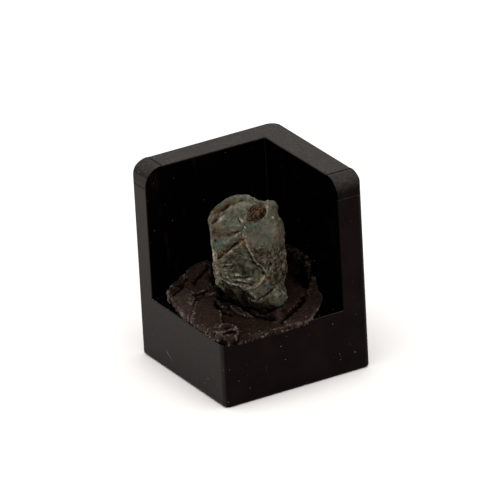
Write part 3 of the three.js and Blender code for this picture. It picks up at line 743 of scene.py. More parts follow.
def tint_areas(stone, areas, ribs, patches):
    """The colours of the areas: mossy ribs, a stained pit, a blotched rough part, and calm upper faces."""
    stone.tint("calm", np.maximum(0.6 * areas["left"], areas["right"]))
    # The ribs are mossy, with painted highlights on their crests and painted shade between them.
    stone.tint("moss", areas["ribbed"] * (0.55 + 0.4 * (1 - ribs)))
    stone.tint("dark_and_shade", 0.5 * areas["ribbed"] * (1 - ribs))
    stone.tint("light", 0.24 * areas["ribbed"] * smooth(ribs, 0.6, 1.0))
    stone.tint("pink", 0.7 * areas["pit"])
    stone.tint("stain", areas["pit"] * (0.5 + 0.4 * patches))
    stone.tint("deep", areas["rough"] * (0.35 + 0.5 * patches))
    stone.tint("pink", areas["rough"] * 0.55 * (1 - patches))
    # The foot is deep in the putty's shadow, and its crust is mossy.
    stone.tint("moss", 0.9 * areas["foot"])
    stone.tint("dark_and_shade", 0.68 * areas["foot"])


def stone_relief(stone, strength):
    """Breaks and marks the stone's faces. Returns how much each place belongs to each area."""
    round_corners(stone, *front_view(stone))
    front, facing = front_view(stone)
    places = stone.places
    areas = soft_areas(front, facing)
    distance, side = from_path(front, FOOT_LINE)
    foot = smooth(-side * distance, -0.5, 1.0) * smooth(-front[:, 1], -6.0, -4.0)
    areas["foot"] = foot * (1 - 0.8 * areas["lump"]) * (1 - 0.8 * areas["low"])
    slant = np.column_stack([front @ [0.79, 0.61], front @ [-0.61, 0.79], places[:, 1]])
    ribs = smooth(ridge_noise(slant, (0.9, 2.6, 1.6), 6.1), 0.2, 1.0)
    patches = smooth(rough_noise(places, 0.8, 2.9), -0.15, 0.3)
    tint_areas(stone, areas, ribs, patches)
    height = stone_height(places, front, areas) + 0.3 * areas["ribbed"] * (ribs - 0.4)
    torn = front + 0.14 * np.column_stack([rough_noise(places, 0.6, 3.7), rough_noise(places, 0.6, 7.1)])
    height += draw_marks(stone, STONE_LINES, torn, facing, facing * (0.72 + 0.28 * patches))
    height += draw_marks(stone, STONE_SPOTS, front, facing, facing)
    stone.raise_by(strength * height)
    return areas


def stone_highlights_and_shade(stone, areas):
    """Painted highlights on broken edges, painted shade in hollows: by how far each place stands out."""
    fine = stone.standing(4)
    broad = stone.standing(24)
    dull = 0.8 * areas["pit"] + 0.9 * areas["foot"] + 0.5 * areas["rough"] + 0.6 * areas["lump"]
    dull = np.clip(dull, 0, 1)
    stone.tint("light", 0.5 * smooth(fine, 0.015, 0.06) * (1 - dull))
    stone.tint("dark_and_shade", 0.8 * smooth(-broad, 0.02, 0.16))
    stone.tint("dark_and_shade", 0.6 * smooth(-fine, 0.01, 0.05) * (1 - 0.3 * areas["rough"]))


def zircon_material(settings):
    graph = Graph("Rough zircon")
    cloud = graph.noise(2.4 * MM, detail=4)
    mottle = graph.noise(0.75 * MM, detail=3, roughness=0.6)
    grain = graph.noise(0.25 * MM, detail=2)
    veins = graph.noise(1.1 * MM, detail=5, roughness=0.7, stretch=(1, 1, 0.5), distortion=1.4)
    colour = graph.mix(rgba(settings.grey), rgba(settings.green), cloud.ramp(0.4, 0.66, 0.0, 0.8))
    layers = (
        ("pink", settings.pink, mottle.ramp(0.3, 0.62, 0.45, 1.0)),
        ("cool", settings.blue, mottle.ramp(0.35, 0.6, 0.5, 1.0)),
        ("deep", settings.deep, mottle.ramp(0.66, 0.34, 0.65, 1.0)),
        ("moss", settings.moss, mottle.ramp(0.3, 0.62, 0.35, 1.0)),
    )
    for tint, settled, patchy in layers:
        colour = graph.mix(colour, rgba(settled), graph.attribute(tint) * patchy)
    rust = veins.ramp(0.6, 0.76) * 0.4 + graph.attribute("stain") * mottle.ramp(0.28, 0.55, 0.45, 1.0)
    specks = grain.ramp(0.46, 0.62) * cloud.ramp(0.4, 0.55)
    stained = graph.mix(rgba(settings.stain), rgba(settings.rust), specks)
    colour = graph.mix(colour, stained, rust.ramp(0.1, 0.9))
    peach = graph.attribute("peach") * mottle.ramp(0.3, 0.6, 0.3, 1.0)
    colour = graph.mix(colour, rgba(settings.peach), peach)
    # Painted highlights and glints, from the light tint.
    light = graph.attribute("light") * grain.ramp(0.35, 0.6, 0.4, 1.0)
    colour = graph.mix(colour, rgba(settings.light), light)
    uneven = mottle.ramp(0.32, 0.68, -0.5, 0.55) * graph.attribute("calm").ramp(0.0, 1.0, 1.0, 0.45) + 1.0
    # The dark tint: a few dark marks, and painted shade in cracks, hollows, between the ribs and on the foot.
    shade = graph.attribute("dark_and_shade").ramp(0.0, 1.0, 1.0, 0.08) * uneven * grain.ramp(0.3, 0.7, 0.8, 1.2)
    colour = graph.shaded(colour, shade)
    glass = cloud.ramp(0.55, 0.4) * mottle.ramp(0.5, 0.62) * 0.1
    return graph.finish({
        "Base Color": colour,
        "Roughness": mottle.ramp(0.3, 0.7, 0.3, 0.55),
        "Specular IOR Level": 0.02,
        "IOR": 1.6,
        "Coat Weight": glass.ramp(0.0, 1.0),
        "Coat Roughness": 0.12,
        "Normal": graph.bump(mottle * 0.5 + grain * 0.5, 0.09 * MM, 0.9),
    })


class SPECIMEN_OT_zircon(bpy.types.Operator):
    """Sculpts and finishes the rough zircon"""

    bl_idname = "specimen.zircon"
    bl_label = "Zircon"

    def execute(self, context):
        settings = context.scene.specimen_zircon
        piece = voxel_piece("Zircon", "zircon", settings.voxel)
        stone = Sculpture(piece, STONE_PLACE, STONE_TURN)
        areas = stone_relief(stone, settings.roughness)
        stone_highlights_and_shade(stone, areas)
        stone.keep_tints(STONE_TINTS)
        piece.data.materials.append(zircon_material(settings))
        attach(piece, "root")
        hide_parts("zircon")
        return {"FINISHED"}


# A flake of the putty, in plan: its outline (X, Y), how far it stands out, and how pale it is.
Flake = namedtuple("Flake", "outline rise pale")

PUTTY_FLAKES = [
    # At the back left: a small hollow flake, and the long one that runs up to the stone.
    Flake([(-8.6, 9.6), (-7.7, 8.7), (-8.2, 7.4), (-9.8, 6.4), (-11.1, 7.0), (-11.2, 8.4)], 0.1, 0.1),
    Flake([
        (-7.7, 8.6), (-8.4, 7.3), (-9.9, 6.2), (-9.0, 3.3), (-8.0, 3.1), (-6.6, 3.1), (-5.3, 4.0),
        (-3.5, 7.0), (-3.0, 10.5), (-5.5, 9.2), (-6.8, 9.2),
    ], 0.3, 0.12),
    # At the left: the pale flake on the block's edge.
    Flake([
        (-12.7, 4.8), (-11.4, 5.7), (-10.0, 5.6), (-9.4, 4.3), (-9.6, 2.3), (-11.2, 0.2), (-11.9, -1.3),
        (-13.9, -3.2), (-14.3, -1.0), (-13.7, 2.0),
    ], 0.28, 0.65),
    # The broad smooth flake in front of it.
    Flake([
        (-10.9, 0.3), (-9.9, 0.9), (-8.4, 0.9), (-7.0, 0.7), (-7.6, -2.2), (-9.0, -5.2), (-10.4, -7.9),
        (-12.4, -9.3), (-14.4, -8.8), (-14.5, -4.0), (-12.3, -1.7),
    ], 0.36, 0.3),
    # The drooping flap at the open corner.
    Flake([
        (-14.4, -9.4), (-13.2, -9.5), (-12.5, -10.3), (-11.3, -9.5), (-10.2, -10.9), (-10.4, -13.0),
        (-11.6, -14.6), (-13.6, -14.6), (-14.6, -12.4),
    ], 0.3, 0.3),
    # The ridge that leans on the stone's lower left corner, and the small lump in front of it.
    Flake([(-8.6, 0.4), (-7.6, 2.3), (-6.3, 3.6), (-4.9, 3.4), (-4.6, 2.4), (-5.6, 1.2), (-7.0, 0.2)],
          0.25, 0.12),
    Flake([(-7.6, -1.1), (-6.7, -0.9), (-5.9, -1.6), (-6.1, -3.2), (-7.2, -4.0), (-8.1, -3.0)], 0.25, 0.12),
    # At the right: the inner pad, and the rim against the wall.
    Flake([(4.0, -3.2), (6.4, -2.9), (7.2, -5.4), (5.6, -7.6), (3.1, -9.7), (0.6, -10.9), (0.2, -8.0)],
          0.2, 0.08),
    Flake([
        (7.9, -4.4), (8.3, -3.0), (9.4, -3.2), (9.4, -9.4), (6.6, -12.4), (4.2, -14.6), (-1.0, -14.6),
        (-2.4, -13.7), (1.0, -11.6), (3.4, -10.1), (5.7, -7.9), (7.4, -5.6),
    ], 0.26, 0.2),
    # The ridge between the two front creases.
    Flake([(-6.6, -3.6), (-5.4, -4.2), (-5.4, -7.4), (-5.0, -9.6), (-6.2, -9.0), (-6.9, -6.6)], 0.2, 0.1),
]

# The putty's middle in plan, along both axes, and how far its edge droops over the block's open edges.
PUTTY_MIDDLE = -2.0
PUTTY_DROOP = 0.5

# Lines in the putty, in plan (X, Y): creases and folds round the stone's foot, painted dark as shade, and
# pale torn rims, partly painted highlight.
PUTTY_LINES = [
    Line([(-3.9, 7.1), (-4.8, 6.8), (-5.6, 6.5), (-6.9, 6.1), (-7.6, 5.7)], 0.36, -0.45, "dark_and_shade", 0.95),
    Line([(-12.4, 5.2), (-11.3, 5.7), (-10.2, 6.1), (-9.1, 6.9), (-8.3, 7.5)], 0.38, -0.45, "dark_and_shade", 1.0),
    Line([(-10.1, 0.7), (-9.1, 1.1), (-7.9, 1.6)], 0.34, -0.45, "dark_and_shade", 1.0),
    Line([(-7.8, -1.1), (-8.1, -1.8), (-8.5, -3.5), (-8.3, -4.9), (-7.7, -6.4)], 0.42, -0.45, "dark_and_shade", 1.0),
    Line([(-5.6, 0.6), (-5.2, -0.8), (-4.8, -2.1), (-3.8, -3.4)], 0.55, -0.4, "dark_and_shade", 0.95),
    Line([(-3.8, -3.4), (-3.3, -6.0), (-2.7, -8.6)], 0.42, -0.45, "dark_and_shade", 0.95),
    Line([(-4.6, -4.4), (-4.6, -6.6), (-4.6, -8.4), (-3.9, -9.9), (-3.0, -11.1)], 0.6, -0.5, "dark_and_shade", 1.0),
    Line([(-3.6, -9.8), (-2.8, -10.8), (-2.8, -12.2)], 0.6, -0.25, "dark_and_shade", 0.6),
    Line([(5.6, -7.6), (3.9, -9.3), (2.1, -10.7), (-0.4, -12.0), (-2.2, -13.2)], 0.36, -0.34, "dark_and_shade", 0.85),
    Line([(7.9, -3.2), (7.7, -3.7), (7.2, -4.2)], 0.35, -0.4, "dark_and_shade", 1.0),
    Line([(7.3, -3.2), (7.7, -4.4), (7.8, -5.4)], 0.35, -0.4, "dark_and_shade", 1.0),
    Line([(0.6, -8.8), (-0.9, -10.0), (-1.9, -11.9), (-3.2, -13.0)], 0.6, 0.22, "pale", 0.35),
    Line([(-11.4, 8.2), (-12.4, 6.6), (-12.8, 5.0)], 0.3, 0.2, "rim_and_highlight", 1.0),
    Line([(-10.6, 9.2), (-10.7, 8.4), (-10.6, 7.6)], 0.2, 0.16, "rim_and_highlight", 0.7),
    Line([(-11.0, 9.0), (-11.2, 7.9)], 0.24, -0.3, "dark_and_shade", 0.9),
    Line([(-10.8, 2.5), (-11.2, 1.2), (-11.5, 0.2)], 0.13, 0.08, "rim_and_highlight", 1.0),
    Line([(7.6, -10.0), (6.4, -11.6), (5.0, -13.2), (3.9, -14.2)], 0.28, 0.12, "rim_and_highlight", 0.45),
    Line([(-8.0, 8.4), (-8.5, 7.3), (-9.9, 6.1), (-9.2, 4.0)], 0.2, 0.14, "rim_and_highlight", 0.55),
    Line([(-9.2, 4.0), (-8.9, 3.0), (-8.2, 2.7)], 0.2, 0.1, "rim_and_highlight", 0.4),
    Line([(-12.9, 4.8), (-13.6, 3.0), (-13.9, 1.0), (-13.8, -1.0)], 0.26, 0.1, "rim_and_highlight", 0.9),
    Line([(-10.9, 0.2), (-11.7, -1.0), (-12.6, -2.4), (-13.6, -4.2)], 0.2, 0.1, "rim_and_highlight", 0.55),
    Line([(-13.9, -8.8), (-13.2, -9.5), (-12.5, -10.3), (-11.3, -9.5), (-10.3, -10.9), (-10.4, -13.0)],
         0.22, 0.16, "rim_and_highlight", 0.6),
    Line([(-13.4, -11.6), (-12.9, -12.9), (-11.5, -12.7)], 0.28, 0.14, "rim_and_highlight", 0.5),
    Line([(-13.9, -12.9), (-13.2, -14.1), (-11.6, -14.4)], 0.35, -0.4, "dark_and_shade", 0.95),
    Line([(9.0, -3.4), (9.0, -7.0), (8.4, -9.4), (6.2, -12.0), (4.0, -13.9)], 0.26, 0.1, "rim_and_highlight", 0.3),
    Line([(4.6, -13.6), (2.4, -14.2), (-1.6, -14.2), (-5.4, -14.2), (-8.8, -14.1)], 0.3, 0.06, "rim_and_highlight", 0.25),
]

# Places where the putty is deep in shadow, beside and below the stone's foot.
PUTTY_HOLLOWS = [
    Spot((-4.7, 1.9), (0.9, 0.9), 0, -0.5, "dark_and_shade", 1.0),
    Spot((-4.9, 4.5), (0.8, 1.3), 0, -0.5, "dark_and_shade", 1.0),
    Spot((-1.2, -8.4), (1.7, 0.8), 0, -0.6, "dark_and_shade", 0.5),
    Spot((-2.7, -10.6), (0.6, 0.9), 0, -0.3, "dark_and_shade", 0.8),
    Spot((-12.7, 3.1), (0.3, 0.5), 0, -0.05, "dark_and_shade", 0.6),
    Spot((-10.9, -8.2), (0.6, 0.8), 0, -0.06, "dark_and_shade", 0.5),
    Spot((-4.3, -0.6), (0.8, 0.8), 0, -0.5, "dark_and_shade", 1.0),
    Spot((-5.3, -0.9), (0.8, 0.5), 0, -0.3, "dark_and_shade", 0.8),
    Spot((-3.6, 5.4), (0.7, 1.8), 0, -0.4, "dark_and_shade", 0.9),
    Spot((-11.4, -11.4), (0.9, 0.8), 0, -0.3, "dark_and_shade", 0.75),
    Spot((-9.6, 7.4), (0.9, 0.7), 0, -0.25, "dark_and_shade", 0.6),
    Spot((5.4, -0.5), (1.2, 1.2), 0, 0.0, "dark_and_shade", 0.5),
]


def close_gap(putty, stone_piece, gap):
    """Presses the putty against the stone: what is near the stone moves up to it. Returns how near it was."""
    shape = bmesh.new()
    shape.from_mesh(stone_piece.data)
    tree = BVHTree.FromBMesh(shape)
    shape.free()
    reach = 1.5
    overlap = 0.05
    world = (putty.places @ putty.axes.T + putty.origin) * MM
    moved = putty.places.copy()
    near = np.full(len(world), 2 * reach)
    for index, place in enumerate(world):
        found, _, _, distance = tree.find_nearest(Vector(place), reach * MM)
        if found is None or distance < 1e-6:
            continue
        near[index] = distance / MM
        toward = (np.array(found) - place) / distance
        moved[index] += toward * (gap + overlap) * (1 - float(smooth(near[index], gap, reach)))
    putty.places = moved
    putty.write()
    putty.read()
    return near


def putty_relief(putty, near):
    """Flakes with torn rims, creases between them, a grainy skin and a ragged edge."""
    putty.soften(np.ones(len(near)), 10)
    places = putty.places
    plan = places[:, :2]
    up = smooth(putty.normals[:, 2], 0.1, 0.6)
    torn = plan + 0.3 * np.column_stack([rough_noise(places, 0.8, 5.3), rough_noise(places, 0.8, 9.1)])
    patches = smooth(rough_noise(places, 0.9, 3.4), -0.2, 0.25)
    height = 0.1 * rough_noise(places, 2.6, 1.7) * up
    # The flakes are torn and pale-rimmed at the left, and turn into soft folds at the right.
    folded = smooth(plan[:, 0], -6.0, 0.0)
    for flake in PUTTY_FLAKES:
        cover = within(torn, flake.outline, 0.14 + 0.26 * folded)
        distance, _ = from_path(torn, [*flake.outline, flake.outline[0]])
        seam = bell(distance, 0.22)
        height += flake.rise * cover * up + 0.08 * bell(distance - 0.25, 0.2) * cover * up * (1 - folded)
        height -= 0.12 * seam * (1 - cover) * up
        putty.tint("pale", flake.pale * cover)
        # Rims partly painted highlight, and painted shade in the seams between the flakes.
        putty.tint("rim_and_highlight", 0.35 * bell(distance - 0.15, 0.16) * cover * patches * (1 - 0.8 * folded))
        putty.tint("dark_and_shade", 0.55 * seam * (1 - cover) * up)
    height += 0.1 * rough_noise(places, (1.4, 0.6, 0.8), 4.9)
    height += 0.05 * rough_noise(places, 0.4, 8.2)
    height += draw_marks(putty, PUTTY_LINES, torn, up, 1.0)
    height += draw_marks(putty, PUTTY_HOLLOWS, plan, up, 1.0)
    # Painted shade where the putty meets the stone.
    putty.tint("dark_and_shade", 0.85 * bell(near, 0.65))
    # The putty smeared up the right wall is lumpy and blotched, and painted darker as shade, most between the
    # lumps.
    smeared = smooth(places[:, 0], 6.5, 7.6) * smooth(places[:, 2], 13.2, 14.4)
    lumps = rough_noise(places, 0.75, 6.4)
    height += 0.12 * smeared * lumps
    putty.tint("pale", 0.25 * smeared * smooth(lumps, -0.1, 0.2))
    putty.tint("dark_and_shade", smeared * (0.4 + 0.5 * smooth(-lumps, -0.05, 0.25)))
    edge = np.max(np.abs(plan - PUTTY_MIDDLE), axis=1)
    ragged = smooth(edge, 9.0, 12.0) * (1 - smooth(np.abs(putty.normals[:, 2]), 0.5, 0.9))
    height += ragged * (0.12 + 0.2 * rough_noise(places, 0.36, 6.6))
    putty.raise_by(height)
    # Painted highlights on the raised edges and painted shade in the hollows, from how far each place stands
    # out.
    putty.tint("rim_and_highlight", 0.5 * smooth(putty.standing(5), 0.03, 0.12))
    putty.tint("dark_and_shade", smooth(-putty.standing(30), 0.04, 0.28))
    putty.tint("dark_and_shade", 0.5 * smooth(-putty.standing(4), 0.01, 0.06))
    # The putty rests on the block, and droops a little over its two open edges.
    reach = -putty.places[:, :2].min(axis=1)
    droop = PUTTY_DROOP * smooth(reach, HALF - 0.15, HALF + 0.12)
    low = np.where(reach > HALF, BLOCK_TOP - PUTTY_DROOP - 0.1, BLOCK_TOP)
    putty.places[:, 2] = np.maximum(putty.places[:, 2] - droop, low)
    putty.write()
    putty.read()


def putty_material(settings):
    graph = Graph("Brown putty")
    cloud = graph.noise(3.0 * MM, detail=4)
    grain = graph.noise(0.3 * MM, detail=3, roughness=0.65)
    dry = graph.noise(1.0 * MM, detail=4, roughness=0.7)
    worn = graph.attribute("pale") + cloud.ramp(0.5, 0.75) * 0.15
    colour = graph.mix(rgba(settings.brown), rgba(settings.worn), worn)
    # Pale dry rims, partly painted highlight, and pale dry specks.
    rim_and_highlight = graph.attribute("rim_and_highlight") * dry.ramp(0.3, 0.6, 0.35, 1.0) * grain.ramp(0.38, 0.62, 0.45, 1.4)
    rim_and_highlight = rim_and_highlight + grain.ramp(0.62, 0.74) * dry.ramp(0.5, 0.65) * 0.3
    colour = graph.mix(colour, rgba(settings.pale), rim_and_highlight.ramp(0.0, 1.0))
    # Painted shade from the dark tint, in creases, hollows and next to the stone, with an uneven grain.
    shade = graph.attribute("dark_and_shade").ramp(0.0, 1.0, 1.0, 0.06) * grain.ramp(0.3, 0.7, 0.6, 1.35)
    shade = shade * dry.ramp(0.35, 0.65, 0.75, 1.15)
    colour = graph.shaded(colour, shade)
    return graph.finish({
        "Base Color": colour,
        "Roughness": dry.ramp(0.3, 0.7, 0.5, 0.72),
        "Specular IOR Level": 0.012,
        "Normal": graph.bump(grain + dry * 0.6, 0.09 * MM, 0.9),
    })


class SPECIMEN_OT_putty(bpy.types.Operator):
    """Presses the putty round the stone and finishes it"""

    bl_idname = "specimen.putty"
    bl_label = "Putty"

    def execute(self, context):
        settings = context.scene.specimen_putty
        piece = voxel_piece("Putty", "putty", settings.voxel)
        putty = Sculpture(piece)
        near = close_gap(putty, bpy.data.objects["Zircon"], settings.gap / MM)
        putty_relief(putty, near)
        putty.keep_tints(("pale", "rim_and_highlight", "dark_and_shade"))
        piece.data.materials.append(putty_material(settings))
        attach(piece, "root")
        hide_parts("putty")
        return {"FINISHED"}


def bevel_moulding(shape, width):
    """Softens the moulding's long sharp edges, and leaves its fine seams as they are."""
    flat = math.radians(0.6)
    bend = math.radians(40)
    shortest = 0.5 * MM
    bmesh.ops.dissolve_limit(shape, angle_limit=flat, verts=shape.verts, edges=shape.edges)
    sharp = [
        edge for edge in shape.edges
        if edge.is_manifold and edge.calc_face_angle() > bend and edge.calc_length() > shortest
    ]
    bmesh.ops.bevel(
        shape, geom=sharp, offset=width, offset_type="OFFSET", segments=2, profile=0.5, affect="EDGES",
        clamp_overlap=False, material=-1)


def is_inner(face):
    """True for the faces that look into the corner of the walls, and the block's top."""
    middle = face.calc_center_median() / MM
    close = 0.06
    back = abs(middle.y - INNER) < close and face.normal.y < -0.9
    right = abs(middle.x - INNER) < close and face.normal.x < -0.9
    top = abs(middle.z - BLOCK_TOP) < close and face.normal.z > 0.9
    return back or right or top


def satin_material(settings):
    graph = Graph("Satin black plastic")
    cloud = graph.noise(5.0 * MM, detail=4)
    grain = graph.noise(0.22 * MM, detail=2)
    dusty = graph.noise(0.45 * MM, detail=5, roughness=0.75)
    normal = graph.node("ShaderNodeNewGeometry", output="Normal")
    upward = graph.part(normal, "Z")
    leftward = graph.part(normal, "X") * -1.0
    up = graph.part(graph.places(), "Z")
    # Painted sheen lies on the outer left face, lighter higher up, in the dusty colour.
    outer = graph.part(graph.places(), "X").ramp(-(HALF - 0.3) * MM, -(HALF - 0.5) * MM, 1.0, 0.0)
    left_sheen = up.ramp(0.0, HEIGHT * MM, 0.22, 0.46) * cloud.ramp(0.3, 0.7, 0.9, 1.1)
    left_sheen = left_sheen * outer * leftward.ramp(0.5, 0.9)
    dust = dusty.ramp(0.35, 0.7, 0.3, 0.82) * upward.ramp(0.2, 0.9, 0.03, 1.0) + left_sheen
    colour = graph.mix(rgba(settings.satin), rgba(settings.dusty), dust + cloud.ramp(0.4, 0.7) * 0.03)
    return graph.finish({
        "Base Color": colour,
        "Roughness": cloud.ramp(0.35, 0.65, 0.24, 0.36) + dusty.ramp(0.45, 0.7) * 0.12,
        "Specular IOR Level": 0.03,
        "Normal": graph.bump(grain + cloud * 0.8, 0.03 * MM, 0.5),
    })


def gloss_material(settings):
    graph = Graph("Glossy black plastic")
    cloud = graph.noise(4.0 * MM, detail=3)
    dusty = graph.noise(0.5 * MM, detail=5, roughness=0.8)
    streak = graph.noise(1.7 * MM, detail=3, stretch=(1, 1, 0.2))
    # Faint upright streaks of painted reflection on the inner faces.
    smeared = graph.mix(rgba(settings.gloss), rgba(settings.painted_reflection), streak.ramp(0.58, 0.74))
    colour = graph.mix(smeared, rgba(settings.fine_dust), dusty.ramp(0.66, 0.8))
    return graph.finish({
        "Base Color": colour,
        "Roughness": cloud.ramp(0.35, 0.65, 0.12, 0.22),
        "Specular IOR Level": 0.03,
        "Normal": graph.bump(cloud, 0.02 * MM, 0.4),
    })


class SPECIMEN_OT_holder(bpy.types.Operator):
    """Softens the holder's edges and gives it its satin and glossy black faces"""

    bl_idname = "specimen.holder"
    bl_label = "Holder"

    def execute(self, context):
        settings = context.scene.specimen_holder
        shape = merged_copy("holder")
        bevel_moulding(shape, settings.bevel)
        for face in shape.faces:
            face.material_index = 1 if is_inner(face) else 0
        piece = new_piece("Holder", shape)
        piece.data.materials.append(satin_material(settings))
        piece.data.materials.append(gloss_material(settings))
        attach(piece, "root")
        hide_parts("holder")
        return {"FINISHED"}


# Larger specks of dust: (across, up) on the front, (Y, up) on the left, (X, Y) on what looks up.
FRONT_SPECKS = [
    (7.0, 9.7), (10.1, 5.2), (11.0, 3.5), (8.2, 2.9), (8.1, 3.9), (-3.0, 8.4), (-2.3, 5.8), (-1.9, 9.9),
    (-11.3, 4.4), (-9.3, 2.6), (-13.4, 1.1),
]
LEFT_SPECKS = [(-8.5, 3.6), (-7.4, 2.4)]
WALL_SPECKS = [(-10.9, 12.7)]
TOP_SPECKS = [
    (13.0, 9.1), (-12.4, 12.5), (-13.9, 9.1), (-13.1, 9.0), (-13.9, 8.0), (-13.9, 4.0), (-13.7, 1.3),
    (-13.6, -7.0), (-13.9, -9.9), (-13.6, -10.2), (-12.0, -10.1), (-13.0, -11.4), (-12.9, 10.6),
    (-11.6, 11.8), (-13.4, 12.2), (-9.9, 12.9), (-6.9, -13.9), (-5.2, -13.6), (-8.8, -13.9),
    (-0.9, -13.7), (2.1, -13.9), (5.0, -13.2),
]
# The radius of the specks in each of these lists, and the smallest and largest of the fine ones.
FRONT_SPECK, LEFT_SPECK, WALL_SPECK, TOP_SPECK = 0.075, 0.09, 0.07, 0.08
FINE_SPECK = (0.025, 0.055)
# Lint fibres, each a bent line along the left face (Y, up) or on the putty (X, Y), and their radius.
LEFT_FIBRE = [(5.3, 3.7), (4.6, 3.0), (4.2, 2.9), (3.4, 2.4)]
PUTTY_FIBRE = [(-11.7, 1.4), (-11.3, 0.9), (-11.2, 0.3)]
FIBRE = 0.03


def add_speck(shape, place, size, draw):
    """One flattened crumb of dust, sunk halfway into what it lies on."""
    stretch = Matrix.Diagonal((*draw.uniform(0.6, 1.3, 3), 1))
    turn = Matrix.Rotation(draw.uniform(0, 2 * math.pi), 4, Vector(draw.normal(size=3)).normalized())
    bmesh.ops.create_icosphere(
        shape, subdivisions=1, radius=size * MM, matrix=Matrix.Translation(place) @ turn @ stretch)


def add_fibre(shape, points, thickness):
    """A thin round fibre through the points."""
    curve = bpy.data.curves.new("Fibre", "CURVE")
    curve.dimensions = "3D"
    curve.bevel_depth = thickness * MM
    curve.bevel_resolution = 1
    curve.use_fill_caps = True
    spline = curve.splines.new("NURBS")
    spline.points.add(len(points) - 1)
    for knot, point in zip(spline.points, points):
        knot.co = (*point, 1)
    spline.use_endpoint_u = True
    spline.order_u = 3
    thread = bpy.data.objects.new("Fibre", curve)
    bpy.context.scene.collection.objects.link(thread)
    mesh = bpy.data.meshes.new_from_object(thread.evaluated_get(bpy.context.evaluated_depsgraph_get()))
    shape.from_mesh(mesh)
    bpy.data.objects.remove(thread)
    bpy.data.curves.remove(curve)
    bpy.data.meshes.remove(mesh)


def finder(*names):
    """Looks for the first surface of the named pieces from a start, in a direction; places in metres."""
    trees = []
    for name in names:
        shape = bmesh.new()
        shape.from_mesh(bpy.data.objects[name].data)
        trees.append(BVHTree.FromBMesh(shape))
        shape.free()

    def find(start, direction):
        hits = [tree.ray_cast(Vector(start) * MM, Vector(direction)) for tree in trees]
        hits = [hit for hit in hits if hit[0] is not None]
        return min(hits, key=lambda hit: hit[3])[0] if hits else None

    return find


def dust_material(settings):
    graph = Graph("Dust and lint")
    cloud = graph.noise(0.4 * MM, detail=2)
    darker = rgba([0.45 * part for part in settings.colour])
    colour = graph.mix(rgba(settings.colour), darker, cloud.ramp(0.4, 0.7))
    return graph.finish({
        "Base Color": colour,
        "Roughness": 0.9,
        "Specular IOR Level": 0.1,
    })


class SPECIMEN_OT_dust(bpy.types.Operator):
    """Scatters dust and two lint fibres over the holder and the putty"""

    bl_idname = "specimen.dust"
    bl_label = "Dust"

    def execute(self, context):
        settings = context.scene.specimen_dust
        draw = np.random.default_rng(settings.seed)
        find = finder("Holder", "Putty")
        far = 3 * HALF
        shape = bmesh.new()
        rays = [((x, -far, z), (0, 1, 0), FRONT_SPECK) for x, z in FRONT_SPECKS]
        rays += [((-far, y, z), (1, 0, 0), LEFT_SPECK) for y, z in LEFT_SPECKS]
        rays += [((-far, y, z), (1, 0, 0), WALL_SPECK) for y, z in WALL_SPECKS]
        rays += [((x, y, 2 * HEIGHT), (0, 0, -1), TOP_SPECK) for x, y in TOP_SPECKS]
        for _ in range(settings.fine):
            across, along = draw.uniform(-HALF, HALF, 2)
            up = draw.uniform(0.3, HEIGHT - 0.3)
            size = FINE_SPECK[0] + (FINE_SPECK[1] - FINE_SPECK[0]) * draw.random() ** 3
            side = draw.integers(6)
            if side == 0:
                rays.append(((across, -far, up), (0, 1, 0), size))
            elif side == 1:
                rays.append(((-far, across, up), (1, 0, 0), size))
            elif side == 2:
                rays.append(((across, far, up), (0, -1, 0), size))
            elif side == 3:
                rays.append(((far, across, up), (-1, 0, 0), size))
            else:
                rays.append(((across, along, 2 * HEIGHT), (0, 0, -1), size))
        for start, direction, size in rays:
            place = find(start, direction)
            if place is not None:
                add_speck(shape, place, size, draw)
        lint = [find((-far, y, z), (1, 0, 0)) for y, z in LEFT_FIBRE]
        add_fibre(shape, [place - Vector((FIBRE * MM, 0, 0)) for place in lint], FIBRE)
        lint = [find((x, y, HEIGHT), (0, 0, -1)) for x, y in PUTTY_FIBRE]
        add_fibre(shape, lint, FIBRE)
        piece = new_piece("Dust", shape)
        piece.data.materials.append(dust_material(settings))
        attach(piece, "root")
        return {"FINISHED"}


def look_from(turn, rise, roll):
    """The camera's right, up and back directions."""
    back = Vector((math.sin(turn) * math.cos(rise), -math.cos(turn) * math.cos(rise), math.sin(rise)))
    right = Vector((math.cos(turn), math.sin(turn), 0))
    up = back.cross(right)
    return (math.cos(roll) * right + math.sin(roll) * up, math.cos(roll) * up - math.sin(roll) * right, back)


def add_camera():
    right, up, back = look_from(VIEW_TURN, VIEW_RISE, VIEW_ROLL)
    data = bpy.data.cameras.new("Camera")
    data.sensor_width = 36
    data.lens = VIEW_LENS
    data.clip_start = 0.1
    data.clip_end = 20
    camera = bpy.data.objects.new("Camera", data)
    place = Matrix((right, up, back)).transposed().to_4x4()
    place.translation = (Vector(VIEW_TARGET) + back * VIEW_DISTANCE) * MM
    camera.matrix_world = place
    bpy.context.scene.collection.objects.link(camera)
    bpy.context.scene.camera = camera


def add_softbox(name, place, size, power):
    data = bpy.data.lights.new(name, "AREA")
    data.shape = "DISK"
    data.size = size
    data.energy = power
    light = bpy.data.objects.new(name, data)
    light.location = place
    light.rotation_euler = (-Vector(place)).to_track_quat("-Z", "Y").to_euler()
    bpy.context.scene.collection.objects.link(light)


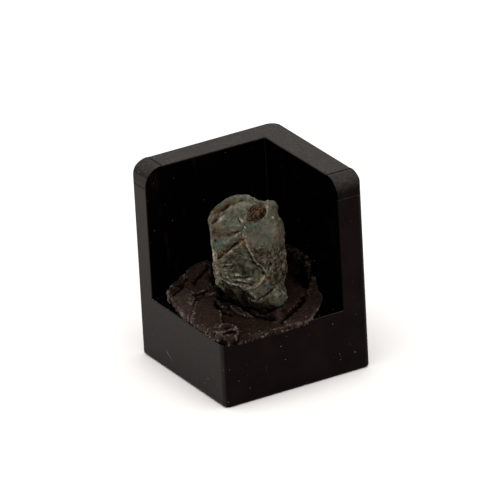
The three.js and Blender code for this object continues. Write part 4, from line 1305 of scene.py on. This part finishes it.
class SPECIMEN_OT_stage(bpy.types.Operator):
    """Adds the pale floor, the soft lights and the camera"""

    bl_idname = "specimen.stage"
    bl_label = "Stage"

    def execute(self, context):
        settings = context.scene.specimen_stage
        shape = bmesh.new()
        bmesh.ops.create_grid(shape, x_segments=1, y_segments=1, size=FLOOR_HALF)
        floor = new_piece("Floor", shape)
        graph = Graph("Pale floor")
        floor.data.materials.append(graph.finish({
            "Base Color": rgba(settings.floor),
            "Roughness": 0.9,
            "Specular IOR Level": 0.0,
        }))
        world = bpy.data.worlds.new("Surroundings")
        world.use_nodes = True
        background = world.node_tree.nodes["Background"]
        background.inputs["Color"].default_value = (1, 1, 1, 1)
        background.inputs["Strength"].default_value = settings.sky
        context.scene.world = world
        context.scene.view_settings.view_transform = "Standard"
        add_softbox("Softbox", SOFTBOX_PLACE, SOFTBOX_SIZE, settings.key)
        add_camera()
        return {"FINISHED"}


class SPECIMEN_PT_panel(bpy.types.Panel):
    bl_label = "Specimen"
    bl_idname = "SPECIMEN_PT_panel"
    bl_space_type = "VIEW_3D"
    bl_region_type = "UI"
    bl_category = "Specimen"

    def draw(self, context):
        for group, operator in PARTS.items():
            box = self.layout.box()
            settings = getattr(context.scene, group)
            for name in settings.bl_rna.properties.keys():
                if name not in ("rna_type", "name"):
                    box.prop(settings, name)
            box.operator(operator)


GROUPS = {
    "specimen_zircon": ZirconSettings,
    "specimen_putty": PuttySettings,
    "specimen_holder": HolderSettings,
    "specimen_dust": DustSettings,
    "specimen_stage": StageSettings,
}
PARTS = {
    "specimen_zircon": "specimen.zircon",
    "specimen_putty": "specimen.putty",
    "specimen_holder": "specimen.holder",
    "specimen_dust": "specimen.dust",
    "specimen_stage": "specimen.stage",
}
OPERATORS = (
    SPECIMEN_OT_zircon, SPECIMEN_OT_putty, SPECIMEN_OT_holder, SPECIMEN_OT_dust, SPECIMEN_OT_stage)


def register():
    for name, group in GROUPS.items():
        bpy.utils.register_class(group)
        setattr(bpy.types.Scene, name, bpy.props.PointerProperty(type=group))
    for made in (*OPERATORS, SPECIMEN_PT_panel):
        bpy.utils.register_class(made)


def unregister():
    for made in (SPECIMEN_PT_panel, *reversed(OPERATORS)):
        bpy.utils.unregister_class(made)
    for name, group in reversed(GROUPS.items()):
        delattr(bpy.types.Scene, name)
        bpy.utils.unregister_class(group)


def main():
    register()
    bpy.ops.specimen.zircon()
    bpy.ops.specimen.putty()
    bpy.ops.specimen.holder()
    bpy.ops.specimen.dust()
    bpy.ops.specimen.stage()


if __name__ == "__main__":
    main()
